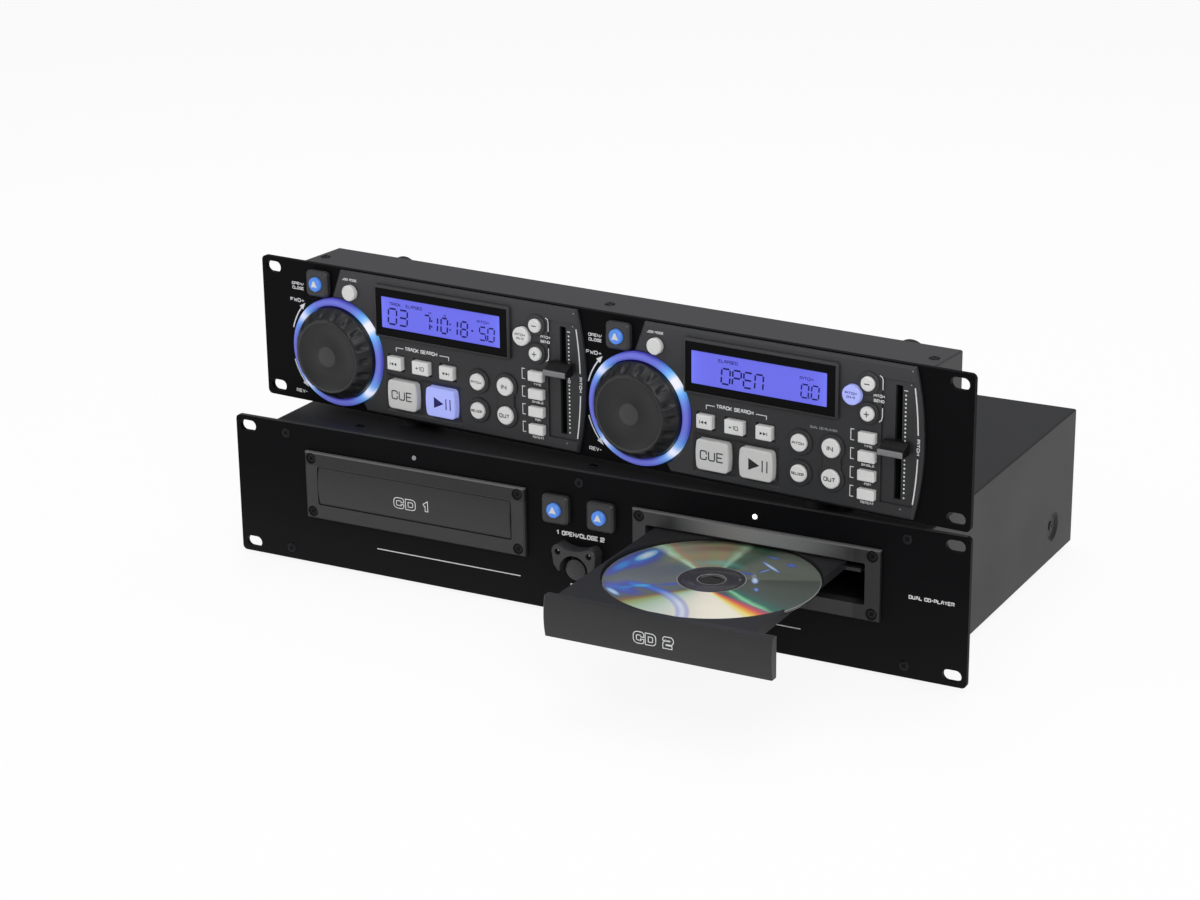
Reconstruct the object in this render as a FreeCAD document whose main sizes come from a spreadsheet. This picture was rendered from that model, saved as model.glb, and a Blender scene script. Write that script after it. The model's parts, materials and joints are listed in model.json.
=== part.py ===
import FreeCAD, Part
import math
import os

import Sketcher
from FreeCAD import Placement, Rotation, Vector

# Dual disc player for a DJ desk: a drive unit with two disc trays and, standing on it, a control unit with
# two decks of keys, jog wheels and pitch faders. Both units are two rack units high.
#
# Frame of the whole part: the origin is the centre of the drive unit's four rack slots on the rear face of its
# front panel, the face that seats on the rack rails. +X runs to the right seen from the front, +Y to the rear
# and +Z up. Every piece is drawn in the frame of its own unit instead: the middle of the front panel's bottom
# edge, on the panel's front face. The unit's Placement then carries it to its place.

DIMENSIONS = {
    # front panels
    "panel_width": 482.6,
    "panel_height": 88.9,
    "panel_thick": 3.0,
    "panel_corner": 3.0,
    "slot_pitch_x": 465.1,
    "slot_pitch_z": 76.2,
    "slot_length": 11.4,
    "slot_width": 7.0,
    "screw_head": 3.1,
    "screw_shank": 1.5,
    "screw_rise": 0.7,
    "screw_depth": 7.0,
    "fit_gap": 0.3,
    "sheet_thick": 1.2,
    # drive unit case
    "drive_width": 432.0,
    "drive_depth": 238.5,
    "case_bottom": 1.6,
    "case_drop": 1.4,
    "flange_height": 10.0,
    "panel_screw_x": 204.4,
    "panel_screw_low": 7.0,
    "panel_screw_drop": 6.9,
    "dish_radius": 9.5,
    "dish_depth": 1.6,
    "dish_height": 22.4,
    "dish_setback": 35.0,
    "drive_foot_radius": 10.0,
    "drive_foot_height": 4.0,
    "foot_inset": 28.0,
    # disc trays
    "opening_margin": 16.5,
    "opening_height": 24.6,
    "opening_bottom": 40.0,
    "bezel_spread": 35.7,
    "bezel_rim_x": 8.75,
    "bezel_rim_low": 9.2,
    "bezel_rim_high": 8.7,
    "bezel_proud": 3.0,
    "bezel_screw_edge": 4.6,
    "bezel_screw_inset": 4.3,
    "door_gap": 0.55,
    "door_thick": 5.0,
    "door_crown": 1.6,
    "door_proud": 2.4,
    "door_rib": 2.0,
    "tray_clear": 1.0,
    "recess_depth": 3.2,
    "tray_web": 2.0,
    "tray_left": 62.4,
    "tray_right": 55.5,
    "rail_clear": 3.25,
    "rail_thick": 2.0,
    "rail_start": 118.0,
    "tray_end": 176.0,
    "disc_radius": 60.0,
    "disc_thick": 1.2,
    "disc_hole": 7.5,
    "recess_clear": 1.0,
    "recess_lip": 7.0,
    "small_recess": 40.75,
    "small_recess_drop": 0.7,
    "rack_steps": 38.0,
    "tooth_module": 1.0,
    "pinion_teeth": 16.0,
    "pinion_width": 5.0,
    "pinion_setback": 17.0,
    "rack_line": 40.0,
    "rack_back": 6.0,
    "post_radius": 2.0,
    "post_gap": 0.05,
    # loading mechanism
    "frame_clear": 1.0,
    "frame_wall": 3.0,
    "frame_start": 6.0,
    "frame_end": 180.0,
    "frame_drop": 6.0,
    "frame_rise": 3.4,
    "ledge_thick": 1.5,
    "ledge_reach": 3.0,
    "turntable_radius": 14.0,
    "spindle_motor": 12.0,
    # keys and buttons on the drive unit
    "eject_pad_x": 14.9,
    "eject_pad_z": 64.0,
    "pad_side": 17.6,
    "pad_corner": 2.6,
    "pad_proud": 4.0,
    "pad_bevel": 1.3,
    "lens_radius": 4.35,
    "lens_proud": 1.9,
    "led_offset": 112.5,
    "led_height": 79.9,
    "led_radius": 1.5,
    "power_height": 30.0,
    "power_radius": 6.4,
    "power_proud": 7.2,
    "power_dome": 17.0,
    "guard_proud": 9.0,
    "guard_ear_x": 10.3,
    "guard_ear_rise": 10.7,
    "guard_ear_radius": 4.3,
    "guard_side_x": 13.5,
    "guard_side_rise": 2.8,
    "guard_tip_x": 10.7,
    "guard_tip_drop": 1.25,
    "guard_dip": 2.6,
    "guard_dip_radius": 20.0,
    "guard_gap": 2.9,
    # control unit
    "control_x": 2.36,
    "control_y": 12.76,
    "control_gap": 5.15,
    "control_yaw": -4.464,
    "control_inset": 0.95,
    "control_depth": 38.0,
    "deck_gap": 2.9,
    "deck_middle": -1.65,
    "fascia_proud": 3.0,
    "fascia_bevel": 1.3,
    "fascia_drop": 0.8,
    "fascia_base": 1.6,
    "fascia_left": 3.6,
    "fascia_span": 146.1,
    "fascia_bow": 168.0,
    "fascia_foot": 20.5,
    "jog_z": 35.8,
    "jog_front": 14.2,
    "jog_face_radius": 23.0,
    "jog_radius": 28.7,
    "jog_shoulder": 5.0,
    "jog_bore": 3.0,
    "jog_dimple": 8.0,
    "jog_dimple_depth": 0.9,
    "ring_gap": 0.7,
    "ring_band": 4.3,
    "ring_proud": 5.0,
    "display_x": 46.1,
    "display_z": 67.8,
    "display_width": 98.2,
    "display_height": 32.2,
    "display_proud": 2.2,
    "window_width": 86.4,
    "window_height": 19.6,
    "window_x": 44.9,
    "window_z": 67.4,
    "window_sunk": 1.0,
    "fader_x": 130.8,
    "fader_z": 44.3,
    "fader_travel": 30.0,
    "fader_rest_one": 10.0,
    "fader_slot": 4.2,
    "fader_recess": 19.4,
    "fader_recess_x": 130.5,
    "fader_recess_depth": 1.0,
    "knob_width": 15.0,
    "knob_rise": 1.6,
    "knob_drop": 5.5,
    "knob_reach": 12.2,
    "knob_tip": 3.6,
    "button_travel": 1.0,
    "button_proud": 3.0,
    "key_bevel": 0.6,
    "key_well_gap": 0.7,
    "key_well_slope": 2.4,
    "key_well_depth": 1.5,
    "search_well_gap": 1.0,
    "search_well_depth": 1.0,
    "key_bulge": 0.8,
    "collar_wide": 2.6,
    "collar_narrow": 2.3,
    "collar_proud": 1.3,
    "cluster_waist": 5.7,
    "flange_lip": 0.9,
    "flange_thick": 1.1,
    "board_setback": 9.0,
    "board_thick": 1.6,
    "switch_side": 6.0,
    "switch_height": 6.4,
    "rear_foot_radius": 10.5,
    "rear_foot_height": 18.0,
    "rear_foot_x": 175.0,
    "rear_foot_low": 16.0,
    "rear_foot_high": 73.0,
    "base_foot_radius": 7.0,
    "base_foot_x": 140.0,
}

DOC = FreeCAD.newDocument("disc_player")
SHEET = DOC.addObject("Spreadsheet::Sheet", "Sizes")
PIECES = []

ALONG_Y = Rotation(Vector(1, 0, 0), -90)
ALONG_X = Rotation(Vector(0, 1, 0), 90)


# ---------------------------------------------------------------- driven sizes


class Size:
    """A size in millimetres, or a plain number, with the sheet expression that drives it."""

    def __init__(self, value, text=None):
        self.value = float(value)
        self.text = text or f"({self.value!r})"
        self.fixed = text is None

    def _with(self, other, value, sign, flip=False):
        pair = (other.text, self.text) if flip else (self.text, other.text)
        if self.fixed and other.fixed:
            return Size(value)
        return Size(value, f"({pair[0]} {sign} {pair[1]})")

    def __add__(self, other):
        other = size(other)
        return self._with(other, self.value + other.value, "+")

    def __radd__(self, other):
        return size(other) + self

    def __sub__(self, other):
        other = size(other)
        return self._with(other, self.value - other.value, "-")

    def __rsub__(self, other):
        return size(other) - self

    def __mul__(self, other):
        other = size(other)
        return self._with(other, self.value * other.value, "*")

    def __rmul__(self, other):
        return size(other) * self

    def __truediv__(self, other):
        other = size(other)
        return self._with(other, self.value / other.value, "/")

    def __neg__(self):
        return self * -1


def size(item):
    return item if isinstance(item, Size) else Size(item)


class Named:
    """The sheet's cells by name, each as a Size."""

    def __init__(self, cells):
        for name, value in cells.items():
            setattr(self, name, Size(value, f"Sizes.{name}"))


def fill_sheet():
    for row, (name, value) in enumerate(DIMENSIONS.items(), 1):
        SHEET.set(f"A{row}", name)
        SHEET.set(f"B{row}", repr(value))
        SHEET.setAlias(f"B{row}", name)
    DOC.recompute()


def bind(item, prop, value):
    """Drive one property of an object from the sheet."""
    if not size(value).fixed:
        item.setExpression(prop, size(value).text)


def stand(item, place, turn=Rotation()):
    """Place an object at a point given by three sizes."""
    x, y, z = (size(part) for part in place)
    item.Placement = Placement(Vector(x.value, y.value, z.value), turn)
    for axis, part in zip("xyz", (x, y, z)):
        bind(item, f"Placement.Base.{axis}", part)


fill_sheet()
S = Named(DIMENSIONS)

# Sizes that follow from others. The case and the fascias stop short of the panels' edges:
S.case_top = S.panel_height - S.case_drop
S.panel_screw_high = S.panel_height - S.panel_screw_drop
S.fascia_top = S.panel_height - S.fascia_drop
S.control_z = S.panel_height + S.control_gap
# The disc sets the width of all that it passes through, and the opening's height sets the levels of the tray:
S.recess_radius = S.disc_radius + S.recess_clear
S.disc_setback = S.recess_radius + S.recess_lip
S.opening_width = S.disc_radius * 2 + S.opening_margin
S.opening_top = S.opening_bottom + S.opening_height
S.bezel_width = S.opening_width + S.bezel_rim_x * 2
S.bezel_bottom = S.opening_bottom - S.bezel_rim_low
S.bezel_top = S.opening_top + S.bezel_rim_high
S.bezel_screw_x = S.bezel_width / 2 - S.bezel_screw_edge
S.tray_offset = S.bezel_width / 2 + S.bezel_spread
S.tray_top = S.opening_top - S.tray_clear
S.tray_floor = S.tray_top - S.recess_depth
S.tray_under = S.tray_floor - S.tray_web
S.rail_half_width = S.opening_width / 2 - S.rail_clear
S.frame_half = S.rail_half_width + S.frame_clear
S.frame_floor = S.opening_bottom - S.frame_drop
S.frame_top = S.opening_top + S.frame_rise
# The jog wheel sets its ring, and the ring's edge is where the rest of a deck is measured from:
S.ring_inner = S.jog_radius + S.ring_gap
S.ring_outer = S.ring_inner + S.ring_band
S.deck_pitch = S.ring_outer * 2 + S.fascia_span + S.deck_gap
S.deck_one_x = S.deck_middle - (S.deck_pitch + S.fascia_span) / 2
S.control_width = S.deck_pitch + S.ring_outer * 2 + S.fascia_span - S.control_inset * 2


# ---------------------------------------------------------------- solids


def block(x_span, y_span, z_span):
    item = DOC.addObject("Part::Box", "Block")
    for prop, (low, high) in zip(("Length", "Width", "Height"), (x_span, y_span, z_span)):
        extent = size(high) - size(low)
        setattr(item, prop, extent.value)
        bind(item, prop, extent)
    stand(item, (x_span[0], y_span[0], z_span[0]))
    return item


def bar(start, radius, length, turn):
    item = DOC.addObject("Part::Cylinder", "Bar")
    for prop, value in (("Radius", size(radius)), ("Height", size(length))):
        setattr(item, prop, value.value)
        bind(item, prop, value)
    stand(item, start, turn)
    return item


def bar_y(x, z, radius, front, back):
    """Round bar that runs from one depth to another."""
    return bar((x, front, z), radius, size(back) - size(front), ALONG_Y)


def bar_z(x, y, radius, low, high):
    return bar((x, y, low), radius, size(high) - size(low), Rotation())


def bar_x(y, z, radius, left, right):
    return bar((left, y, z), radius, size(right) - size(left), ALONG_X)


def cone_y(x, z, front, back, front_radius, back_radius):
    item = DOC.addObject("Part::Cone", "Cone")
    for prop, value in (("Radius1", front_radius), ("Radius2", back_radius), ("Height", size(back) - size(front))):
        setattr(item, prop, size(value).value)
        bind(item, prop, value)
    stand(item, (x, front, z), ALONG_Y)
    return item


def cone_x(y, z, left, right, left_radius, right_radius):
    item = DOC.addObject("Part::Cone", "Cone")
    for prop, value in (("Radius1", left_radius), ("Radius2", right_radius), ("Height", size(right) - size(left))):
        setattr(item, prop, size(value).value)
        bind(item, prop, value)
    stand(item, (left, y, z), ALONG_X)
    return item


def ball(centre, radius):
    item = DOC.addObject("Part::Sphere", "Ball")
    item.Radius = size(radius).value
    bind(item, "Radius", radius)
    stand(item, centre)
    return item


def hopper(x_span, y_span, z_span, slope):
    """Block whose four sides lean in by one amount from its front to its back."""
    item = DOC.addObject("Part::Wedge", "Hopper")
    places = {"Ymin": y_span[0], "Ymax": y_span[1]}
    for axis, (low, high) in (("X", x_span), ("Z", z_span)):
        places |= {f"{axis}min": low - slope, f"{axis}max": high + slope}
        places |= {f"{axis}2min": low, f"{axis}2max": high}
    for prop, value in places.items():
        setattr(item, prop, size(value).value)
        bind(item, prop, value)
    return item


def fuse(*items):
    """One solid from several; seams between flush faces are taken out."""
    if len(items) == 1:
        return items[0]
    item = DOC.addObject("Part::MultiFuse", "Joined")
    item.Shapes = list(items)
    item.Refine = True
    return item


def cut(base, *tools):
    item = DOC.addObject("Part::Cut", "Hollowed")
    item.Base, item.Tool = base, fuse(*tools)
    item.Refine = True
    return item


def common(base, tool):
    item = DOC.addObject("Part::Common", "Shared")
    item.Base, item.Tool = base, tool
    return item


def group(*items):
    """Several separate solids that make one node."""
    item = DOC.addObject("Part::Compound", "Set")
    item.Links = list(items)
    return item


def edges(item, test):
    """Numbers of the edges of an object that pass a test."""
    DOC.recompute([item])
    return [number for number, edge in enumerate(item.Shape.Edges, 1) if test(edge)]


def rim(depth):
    """Test for the edges that lie in the plane at one depth."""
    return lambda edge: abs(edge.BoundBox.YMin - size(depth).value) < 1e-4 and edge.BoundBox.YLength < 1e-4


def upright_edge(edge):
    return edge.BoundBox.ZLength > 1e-3 and edge.BoundBox.XLength < 1e-4 and edge.BoundBox.YLength < 1e-4


def along_depth(edge):
    return edge.BoundBox.YLength > 1e-3 and edge.BoundBox.XLength < 1e-4 and edge.BoundBox.ZLength < 1e-4


def soften(kind, base, radius, test):
    """Part::Fillet or Part::Chamfer on the edges that pass a test."""
    picked = edges(base, test)
    item = DOC.addObject(f"Part::{kind}", kind)
    item.Base = base
    item.Edges = [(number, size(radius).value, size(radius).value) for number in picked]
    return item


def rounded_block(x_span, y_span, z_span, corner):
    """Block whose four corners are round in the front view."""
    return soften("Fillet", block(x_span, y_span, z_span), corner, along_depth)


def around(centre, width):
    """Span of one width about a centre."""
    return (size(centre) - size(width) / 2, size(centre) + size(width) / 2)


# ---------------------------------------------------------------- sketched bodies


def new_body(name):
    return DOC.addObject("PartDesign::Body", name)


def new_sketch(body, plane, lift=0):
    """Sketch on one of the body's own planes, lifted along the plane's normal."""
    sketch = body.newObject("Sketcher::SketchObject", f"{body.Name}_{plane}")
    datum = next(item for item in body.Origin.OriginFeatures if item.Role == f"{plane}_Plane")
    sketch.AttachmentSupport = [(datum, "")]
    sketch.MapMode = "FlatFace"
    sketch.AttachmentOffset = Placement(Vector(0, 0, size(lift).value), Rotation())
    bind(sketch, "AttachmentOffset.Base.z", lift)
    return sketch


def pin_points(sketch, places):
    """Hold points of a sketch at driven distances from its origin: geometry, point, x and y of each."""
    held = [
        (kind, geometry, point, size(value))
        for geometry, point, x, y in places
        for kind, value in (("DistanceX", x), ("DistanceY", y))
    ]
    first = sketch.ConstraintCount
    sketch.addConstraint(
        [Sketcher.Constraint(kind, -1, 1, geometry, point, value.value) for kind, geometry, point, value in held]
    )
    for number, (_, _, _, value) in enumerate(held, first):
        bind(sketch, f"Constraints[{number}]", value)


def hold_radius(sketch, geometry, radius):
    number = sketch.addConstraint(Sketcher.Constraint("Radius", geometry, size(radius).value))
    bind(sketch, f"Constraints[{number}]", radius)


def outline(sketch, points):
    """Closed outline of straight sides through driven points."""
    spots = [Vector(size(x).value, size(y).value, 0) for x, y in points]
    first = sketch.GeometryCount
    sketch.addGeometry([Part.LineSegment(a, b) for a, b in zip(spots, spots[1:] + spots[:1])], False)
    sides = range(first, first + len(points))
    sketch.addConstraint(
        [
            Sketcher.Constraint("Coincident", side, 2, first + (side - first + 1) % len(points), 1)
            for side in sides
        ]
    )
    pin_points(sketch, [(side, 1, x, y) for side, (x, y) in zip(sides, points)])


def ring_line(sketch, x, y, radius):
    """Circle at a driven centre."""
    centre = Vector(size(x).value, size(y).value, 0)
    number = sketch.addGeometry(Part.Circle(centre, Vector(0, 0, 1), size(radius).value), False)
    pin_points(sketch, [(number, 3, x, y)])
    hold_radius(sketch, number, radius)


def rectangle(sketch, x_span, z_span):
    (left, right), (low, high) = x_span, z_span
    return outline(sketch, [(left, low), (right, low), (right, high), (left, high)])


def slot_line(sketch, x, z, length, width):
    """Slot with round ends, lying across."""
    reach, radius = (size(length) - size(width)) / 2, size(width) / 2
    left, right = size(x) - reach, size(x) + reach
    x0, x1, y0, r = left.value, right.value, size(z).value, radius.value
    first = sketch.GeometryCount
    shapes = [
        Part.LineSegment(Vector(x0, y0 - r, 0), Vector(x1, y0 - r, 0)),
        Part.LineSegment(Vector(x1, y0 + r, 0), Vector(x0, y0 + r, 0)),
    ]
    for centre, start in ((x1, -math.pi / 2), (x0, math.pi / 2)):
        circle = Part.Circle(Vector(centre, y0, 0), Vector(0, 0, 1), r)
        shapes.append(Part.ArcOfCircle(circle, start, start + math.pi))
    sketch.addGeometry(shapes, False)
    low, high, right_end, left_end = range(first, first + 4)
    chain = (low, 2, right_end, 1), (right_end, 2, high, 1), (high, 2, left_end, 1), (left_end, 2, low, 1)
    sketch.addConstraint([Sketcher.Constraint("Tangent", *link) for link in chain])
    sketch.addConstraint(Sketcher.Constraint("Equal", right_end, left_end))
    pin_points(sketch, [(right_end, 3, right, z), (left_end, 3, left, z)])
    hold_radius(sketch, right_end, radius)


def pad(body, sketch, length, back=True):
    """Raise a sketch: to the rear of an XZ sketch, or against its normal on any other plane."""
    item = body.newObject("PartDesign::Pad", f"{body.Name}_pad")
    item.Profile = sketch
    item.Length = size(length).value
    bind(item, "Length", length)
    item.Reversed = back
    body.Tip = item
    return item


def pocket(body, sketch, depth=None):
    """Sink a sketch into the body, right through where no depth is given."""
    item = body.newObject("PartDesign::Pocket", f"{body.Name}_pocket")
    item.Profile = sketch
    if depth is None:
        item.Type = "ThroughAll"
        item.Midplane = True
    else:
        item.Length = size(depth).value
        bind(item, "Length", depth)
    body.Tip = item
    return item


def revolve(body, sketch):
    """Turn a profile about the sketch's own horizontal axis."""
    item = body.newObject("PartDesign::Revolution", f"{body.Name}_turned")
    item.Profile = sketch
    item.ReferenceAxis = (sketch, ["H_Axis"])
    item.Angle = 360
    body.Tip = item
    return item


def turned(name, profile):
    """Body turned about the Y axis through the origin, from points of depth and radius."""
    body = new_body(name)
    sketch = new_sketch(body, "YZ")
    outline(sketch, profile)
    revolve(body, sketch)
    return body


def shifted(item, place):
    """The same solid at another place."""
    moved = group(item)
    stand(moved, place)
    return moved


# ---------------------------------------------------------------- units and nodes


def finish(item, label, unit):
    """Name a sub-part and carry it to its unit's place in the whole part."""
    item.Label = label
    base = {
        "drive": (0, -S.panel_thick, -S.panel_height / 2),
        "control": (S.control_x, S.control_y - S.panel_thick, S.control_z - S.panel_height / 2),
    }[unit]
    stand(item, base, Rotation(Vector(0, 0, 1), S.control_yaw.value if unit == "control" else 0))
    if unit == "control":
        bind(item, "Placement.Rotation.Angle", S.control_yaw)
    PIECES.append(item)


def slot_places():
    for x in (-S.slot_pitch_x / 2, S.slot_pitch_x / 2):
        for z in (S.panel_height / 2 - S.slot_pitch_z / 2, S.panel_height / 2 + S.slot_pitch_z / 2):
            yield x, z


def panel_blank(name):
    """Front panel with round corners and its four rack slots."""
    body = new_body(name)
    sketch = new_sketch(body, "XZ")
    rectangle(sketch, around(0, S.panel_width), (0, S.panel_height))
    plate = pad(body, sketch, S.panel_thick)
    DOC.recompute()
    corners = [f"Edge{n}" for n, edge in enumerate(plate.Shape.Edges, 1) if along_depth(edge)]
    fillet = body.newObject("PartDesign::Fillet", f"{name}_corners")
    fillet.Base = (plate, corners)
    fillet.Radius = S.panel_corner.value
    bind(fillet, "Radius", S.panel_corner)
    body.Tip = fillet
    slots = new_sketch(body, "XZ")
    for x, z in slot_places():
        slot_line(slots, x, z, S.slot_length, S.slot_width)
    pocket(body, slots)
    return body


def screw(x, z, seat):
    """Screw driven to the rear, its head standing on a face at one depth."""
    head = bar_y(x, z, S.screw_head, seat - S.screw_rise, seat)
    return fuse(head, bar_y(x, z, S.screw_shank, seat, seat + S.screw_depth))


# ---------------------------------------------------------------- drive unit: case


def deck_sides():
    return (-1, 1)


def panel_screw_places():
    low, high = S.panel_screw_low, S.panel_screw_high
    return [(side * S.panel_screw_x, z) for side in (-1, 1) for z in (low, high)] + [(size(0), high)]


def drive_front_panel():
    body = panel_blank("DrivePanel")
    holes = new_sketch(body, "XZ")
    for side in deck_sides():
        centre = side * S.tray_offset
        low = S.opening_bottom - S.fit_gap
        rectangle(
            holes,
            around(centre, S.opening_width + S.fit_gap * 2),
            (low, S.opening_top + S.fit_gap),
        )
        ring_line(holes, side * S.led_offset, S.led_height, S.led_radius + S.fit_gap / 2)
        ring_line(holes, side * S.eject_pad_x, S.eject_pad_z, S.lens_radius + S.flange_lip + S.fit_gap * 2)
    ring_line(holes, 0, S.power_height, S.power_radius + S.flange_lip + S.fit_gap * 2)
    for x, z in panel_screw_places():
        ring_line(holes, x, z, S.screw_shank)
    for x, z in bezel_screw_places():
        ring_line(holes, x, z, S.screw_shank)
    pocket(body, holes)
    finish(body, "drive_front_panel", "drive")


def case_back():
    return S.panel_thick + S.drive_depth


def drive_base():
    """Bottom, front wall, rear wall and two low side flanges, bent from one sheet."""
    half = S.drive_width / 2 - S.sheet_thick
    front, back = S.panel_thick, case_back()
    low, high = S.case_bottom, S.case_top - S.sheet_thick
    shell = block((-half, half), (front, back), (low, high))
    inner = block(
        (-half + S.sheet_thick, half - S.sheet_thick),
        (front + S.sheet_thick, back - S.sheet_thick),
        (low + S.sheet_thick, high + S.sheet_thick),
    )
    over_flanges = block(
        (-half - S.fit_gap, half + S.fit_gap),
        (front + S.sheet_thick, back - S.sheet_thick),
        (low + S.flange_height, high + S.sheet_thick),
    )
    windows = [
        block(
            around(side * S.tray_offset, S.frame_half * 2 + S.frame_wall * 2 + S.fit_gap * 4),
            (front - 1, front + S.sheet_thick + 1),
            (S.frame_floor - S.sheet_thick, S.frame_top + S.sheet_thick),
        )
        for side in deck_sides()
    ]
    middle = block(
        around(0, S.eject_pad_x * 2 + S.pad_side),
        (front - 1, front + S.sheet_thick + 1),
        (S.power_height - S.power_radius * 2, S.eject_pad_z + S.pad_side / 2),
    )
    holes = [bar_y(x, z, S.screw_shank, front - 1, front + S.sheet_thick + 1) for x, z in panel_screw_places()]
    holes += [bar_y(x, z, S.screw_shank, front - 1, front + S.sheet_thick + 1) for x, z in bezel_screw_places()]
    holes += [
        bar_y(side * S.led_offset, S.led_height, S.led_radius + S.flange_lip, front - 1, front + S.sheet_thick + 1)
        for side in deck_sides()
    ]
    holes += [bar_y(x, z, reach, back - S.sheet_thick - 1, back + 1) for x, z, reach in socket_places()]
    inlet = block(
        around(inlet_x(), INLET_WIDTH),
        (back - S.sheet_thick - 1, back + 1),
        around(INLET_HEIGHT, INLET_TALL),
    )
    finish(cut(shell, inner, over_flanges, middle, inlet, *windows, *holes), "drive_base", "drive")


def dish_places():
    """Dished screw seats on the cover's sides: depth from the panel's front face, and height."""
    front, back = S.panel_thick + S.dish_setback, case_back() - S.dish_setback
    return [(side, y) for side in (-1, 1) for y in (front, back)]


COVER_SCREW_SETBACK = 14.0
COVER_SCREW_INSET = 54.0


def drive_cover():
    """Top and two sides bent from one sheet, with dished seats for the side screws."""
    half = S.drive_width / 2
    front, back = S.panel_thick, case_back()
    outer = block((-half, half), (front, back), (S.case_bottom, S.case_top))
    inner = block(
        (-half + S.sheet_thick, half - S.sheet_thick),
        (front - 1, back + 1),
        (S.case_bottom - 1, S.case_top - S.sheet_thick),
    )
    shell = cut(soften("Fillet", outer, S.sheet_thick, cover_bend), inner)
    dishes, seats = [], []
    for side, y in dish_places():
        skin = side * half
        floor = side * (half - S.dish_depth)
        inside = side * (half - S.dish_depth - S.sheet_thick)
        wide, narrow = S.dish_radius, S.dish_radius - S.dish_depth * 1.5
        if side < 0:
            dishes.append(cone_x(y, S.dish_height, skin, floor, wide, narrow))
            seats.append(cone_x(y, S.dish_height, skin + S.sheet_thick / 2, inside, wide + 0.6, narrow + 0.6))
        else:
            dishes.append(cone_x(y, S.dish_height, floor, skin, narrow, wide))
            seats.append(cone_x(y, S.dish_height, inside, skin - S.sheet_thick / 2, narrow + 0.6, wide + 0.6))
    finish(cut(fuse(shell, *seats), *dishes), "drive_cover", "drive")


def cover_bend(edge):
    """Top edges of the cover that run front to back."""
    return along_depth(edge) and edge.BoundBox.ZMin > S.case_top.value - 1e-3


def drive_feet():
    feet = []
    for x in (-S.drive_width / 2 + S.foot_inset, S.drive_width / 2 - S.foot_inset):
        for y in (S.panel_thick + S.foot_inset, case_back() - S.foot_inset):
            foot = bar_z(x, y, S.drive_foot_radius, S.case_bottom - S.drive_foot_height, S.case_bottom)
            feet.append(soften("Chamfer", foot, 1.0, low_rim(S.case_bottom - S.drive_foot_height)))
    finish(group(*feet), "drive_feet", "drive")


def low_rim(height):
    return lambda edge: edge.BoundBox.ZLength < 1e-4 and abs(edge.BoundBox.ZMin - size(height).value) < 1e-4


INLET_WIDTH = 27.0
INLET_TALL = 19.5
INLET_HEIGHT = 30.0
INLET_INSET = 60.0
PHONO_RADIUS = 4.2
PHONO_REACH = 9.0
PHONO_PITCH = 18.0
DIN_RADIUS = 7.4
DIN_REACH = 3.0
SOCKET_HEIGHT = 46.0


def inlet_x():
    return -S.drive_width / 2 + INLET_INSET


def phono_places():
    """Line sockets in left and right pairs, one pair for each disc, near the rear wall's other end."""
    first = S.drive_width / 2 - 96
    for pair in range(2):
        for channel in range(2):
            yield first + pair * PHONO_PITCH * 2, SOCKET_HEIGHT + (channel - 0.5) * PHONO_PITCH


def din_places():
    for pair in range(2):
        yield S.drive_width / 2 - 190 + pair * 32.0, size(SOCKET_HEIGHT)


def socket_places():
    """Holes in the rear wall: x, height and radius."""
    holes = [(x, z, size(PHONO_RADIUS) + 0.2) for x, z in phono_places()]
    return holes + [(x, z, size(DIN_RADIUS) + 0.2) for x, z in din_places()]


def rear_sockets():
    """Mains inlet, four line sockets and two sockets for the leads to the control unit."""
    back = case_back()
    sockets = []
    for x, z in phono_places():
        barrel = bar_y(x, z, PHONO_RADIUS, back - 8, back + PHONO_REACH)
        collar = bar_y(x, z, PHONO_RADIUS + 2.2, back, back + 1.6)
        sockets.append(cut(fuse(barrel, collar), bar_y(x, z, 1.6, back - 2, back + PHONO_REACH + 1)))
    for x, z in din_places():
        shell = bar_y(x, z, DIN_RADIUS, back - 8, back + DIN_REACH)
        sockets.append(cut(shell, bar_y(x, z, DIN_RADIUS - 1.2, back - 0.5, back + DIN_REACH + 1)))
    sockets.append(mains_inlet(inlet_x(), size(INLET_HEIGHT), back))
    finish(group(*sockets), "rear_sockets", "drive")


def mains_inlet(x, z, back):
    """Three-pin inlet: a flanged box, open to the rear, with its pins on the floor of the well."""
    wall = 1.8
    floor = back - 13.5
    box = block(around(x, INLET_WIDTH - 0.4), (floor - 2, back + 1), around(z, INLET_TALL - 0.4))
    flange = block(around(x, INLET_WIDTH + 5), (back, back + 2), around(z, INLET_TALL + 5))
    well = block(
        around(x, INLET_WIDTH - 0.4 - wall * 2), (floor, back + 3), around(z, INLET_TALL - 0.4 - wall * 2)
    )
    pins = [
        block(around(x + across, 2.0), (floor - 1, floor + 8), around(z + up, 4.0))
        for across, up in ((-7, -1.5), (0, 2.0), (7, -1.5))
    ]
    return fuse(cut(fuse(box, flange), well), *pins)


def drive_electronics():
    """Main board on four posts and the power supply board beside it, both on the drive's floor."""
    floor = S.case_bottom + S.sheet_thick
    back = case_back()
    board_z = floor + 6
    items = []
    boards = (
        (around(20, 190), (back - 52, back - 12)),
        ((-S.drive_width / 2 + 22, -S.drive_width / 2 + 118), (back - 52, back - 18)),
    )
    for x_span, y_span in boards:
        posts = [
            bar_z(x, y, 2.5, floor, board_z)
            for x in (x_span[0] + 5, x_span[1] - 5)
            for y in (y_span[0] + 5, y_span[1] - 5)
        ]
        items.append(fuse(block(x_span, y_span, (board_z, board_z + S.board_thick)), *posts))
    transformer = block(
        (-S.drive_width / 2 + 72, -S.drive_width / 2 + 108),
        (back - 50, back - 22),
        (board_z + S.board_thick, board_z + 34),
    )
    items.append(transformer)
    finish(group(*items), "drive_electronics", "drive")


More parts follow.
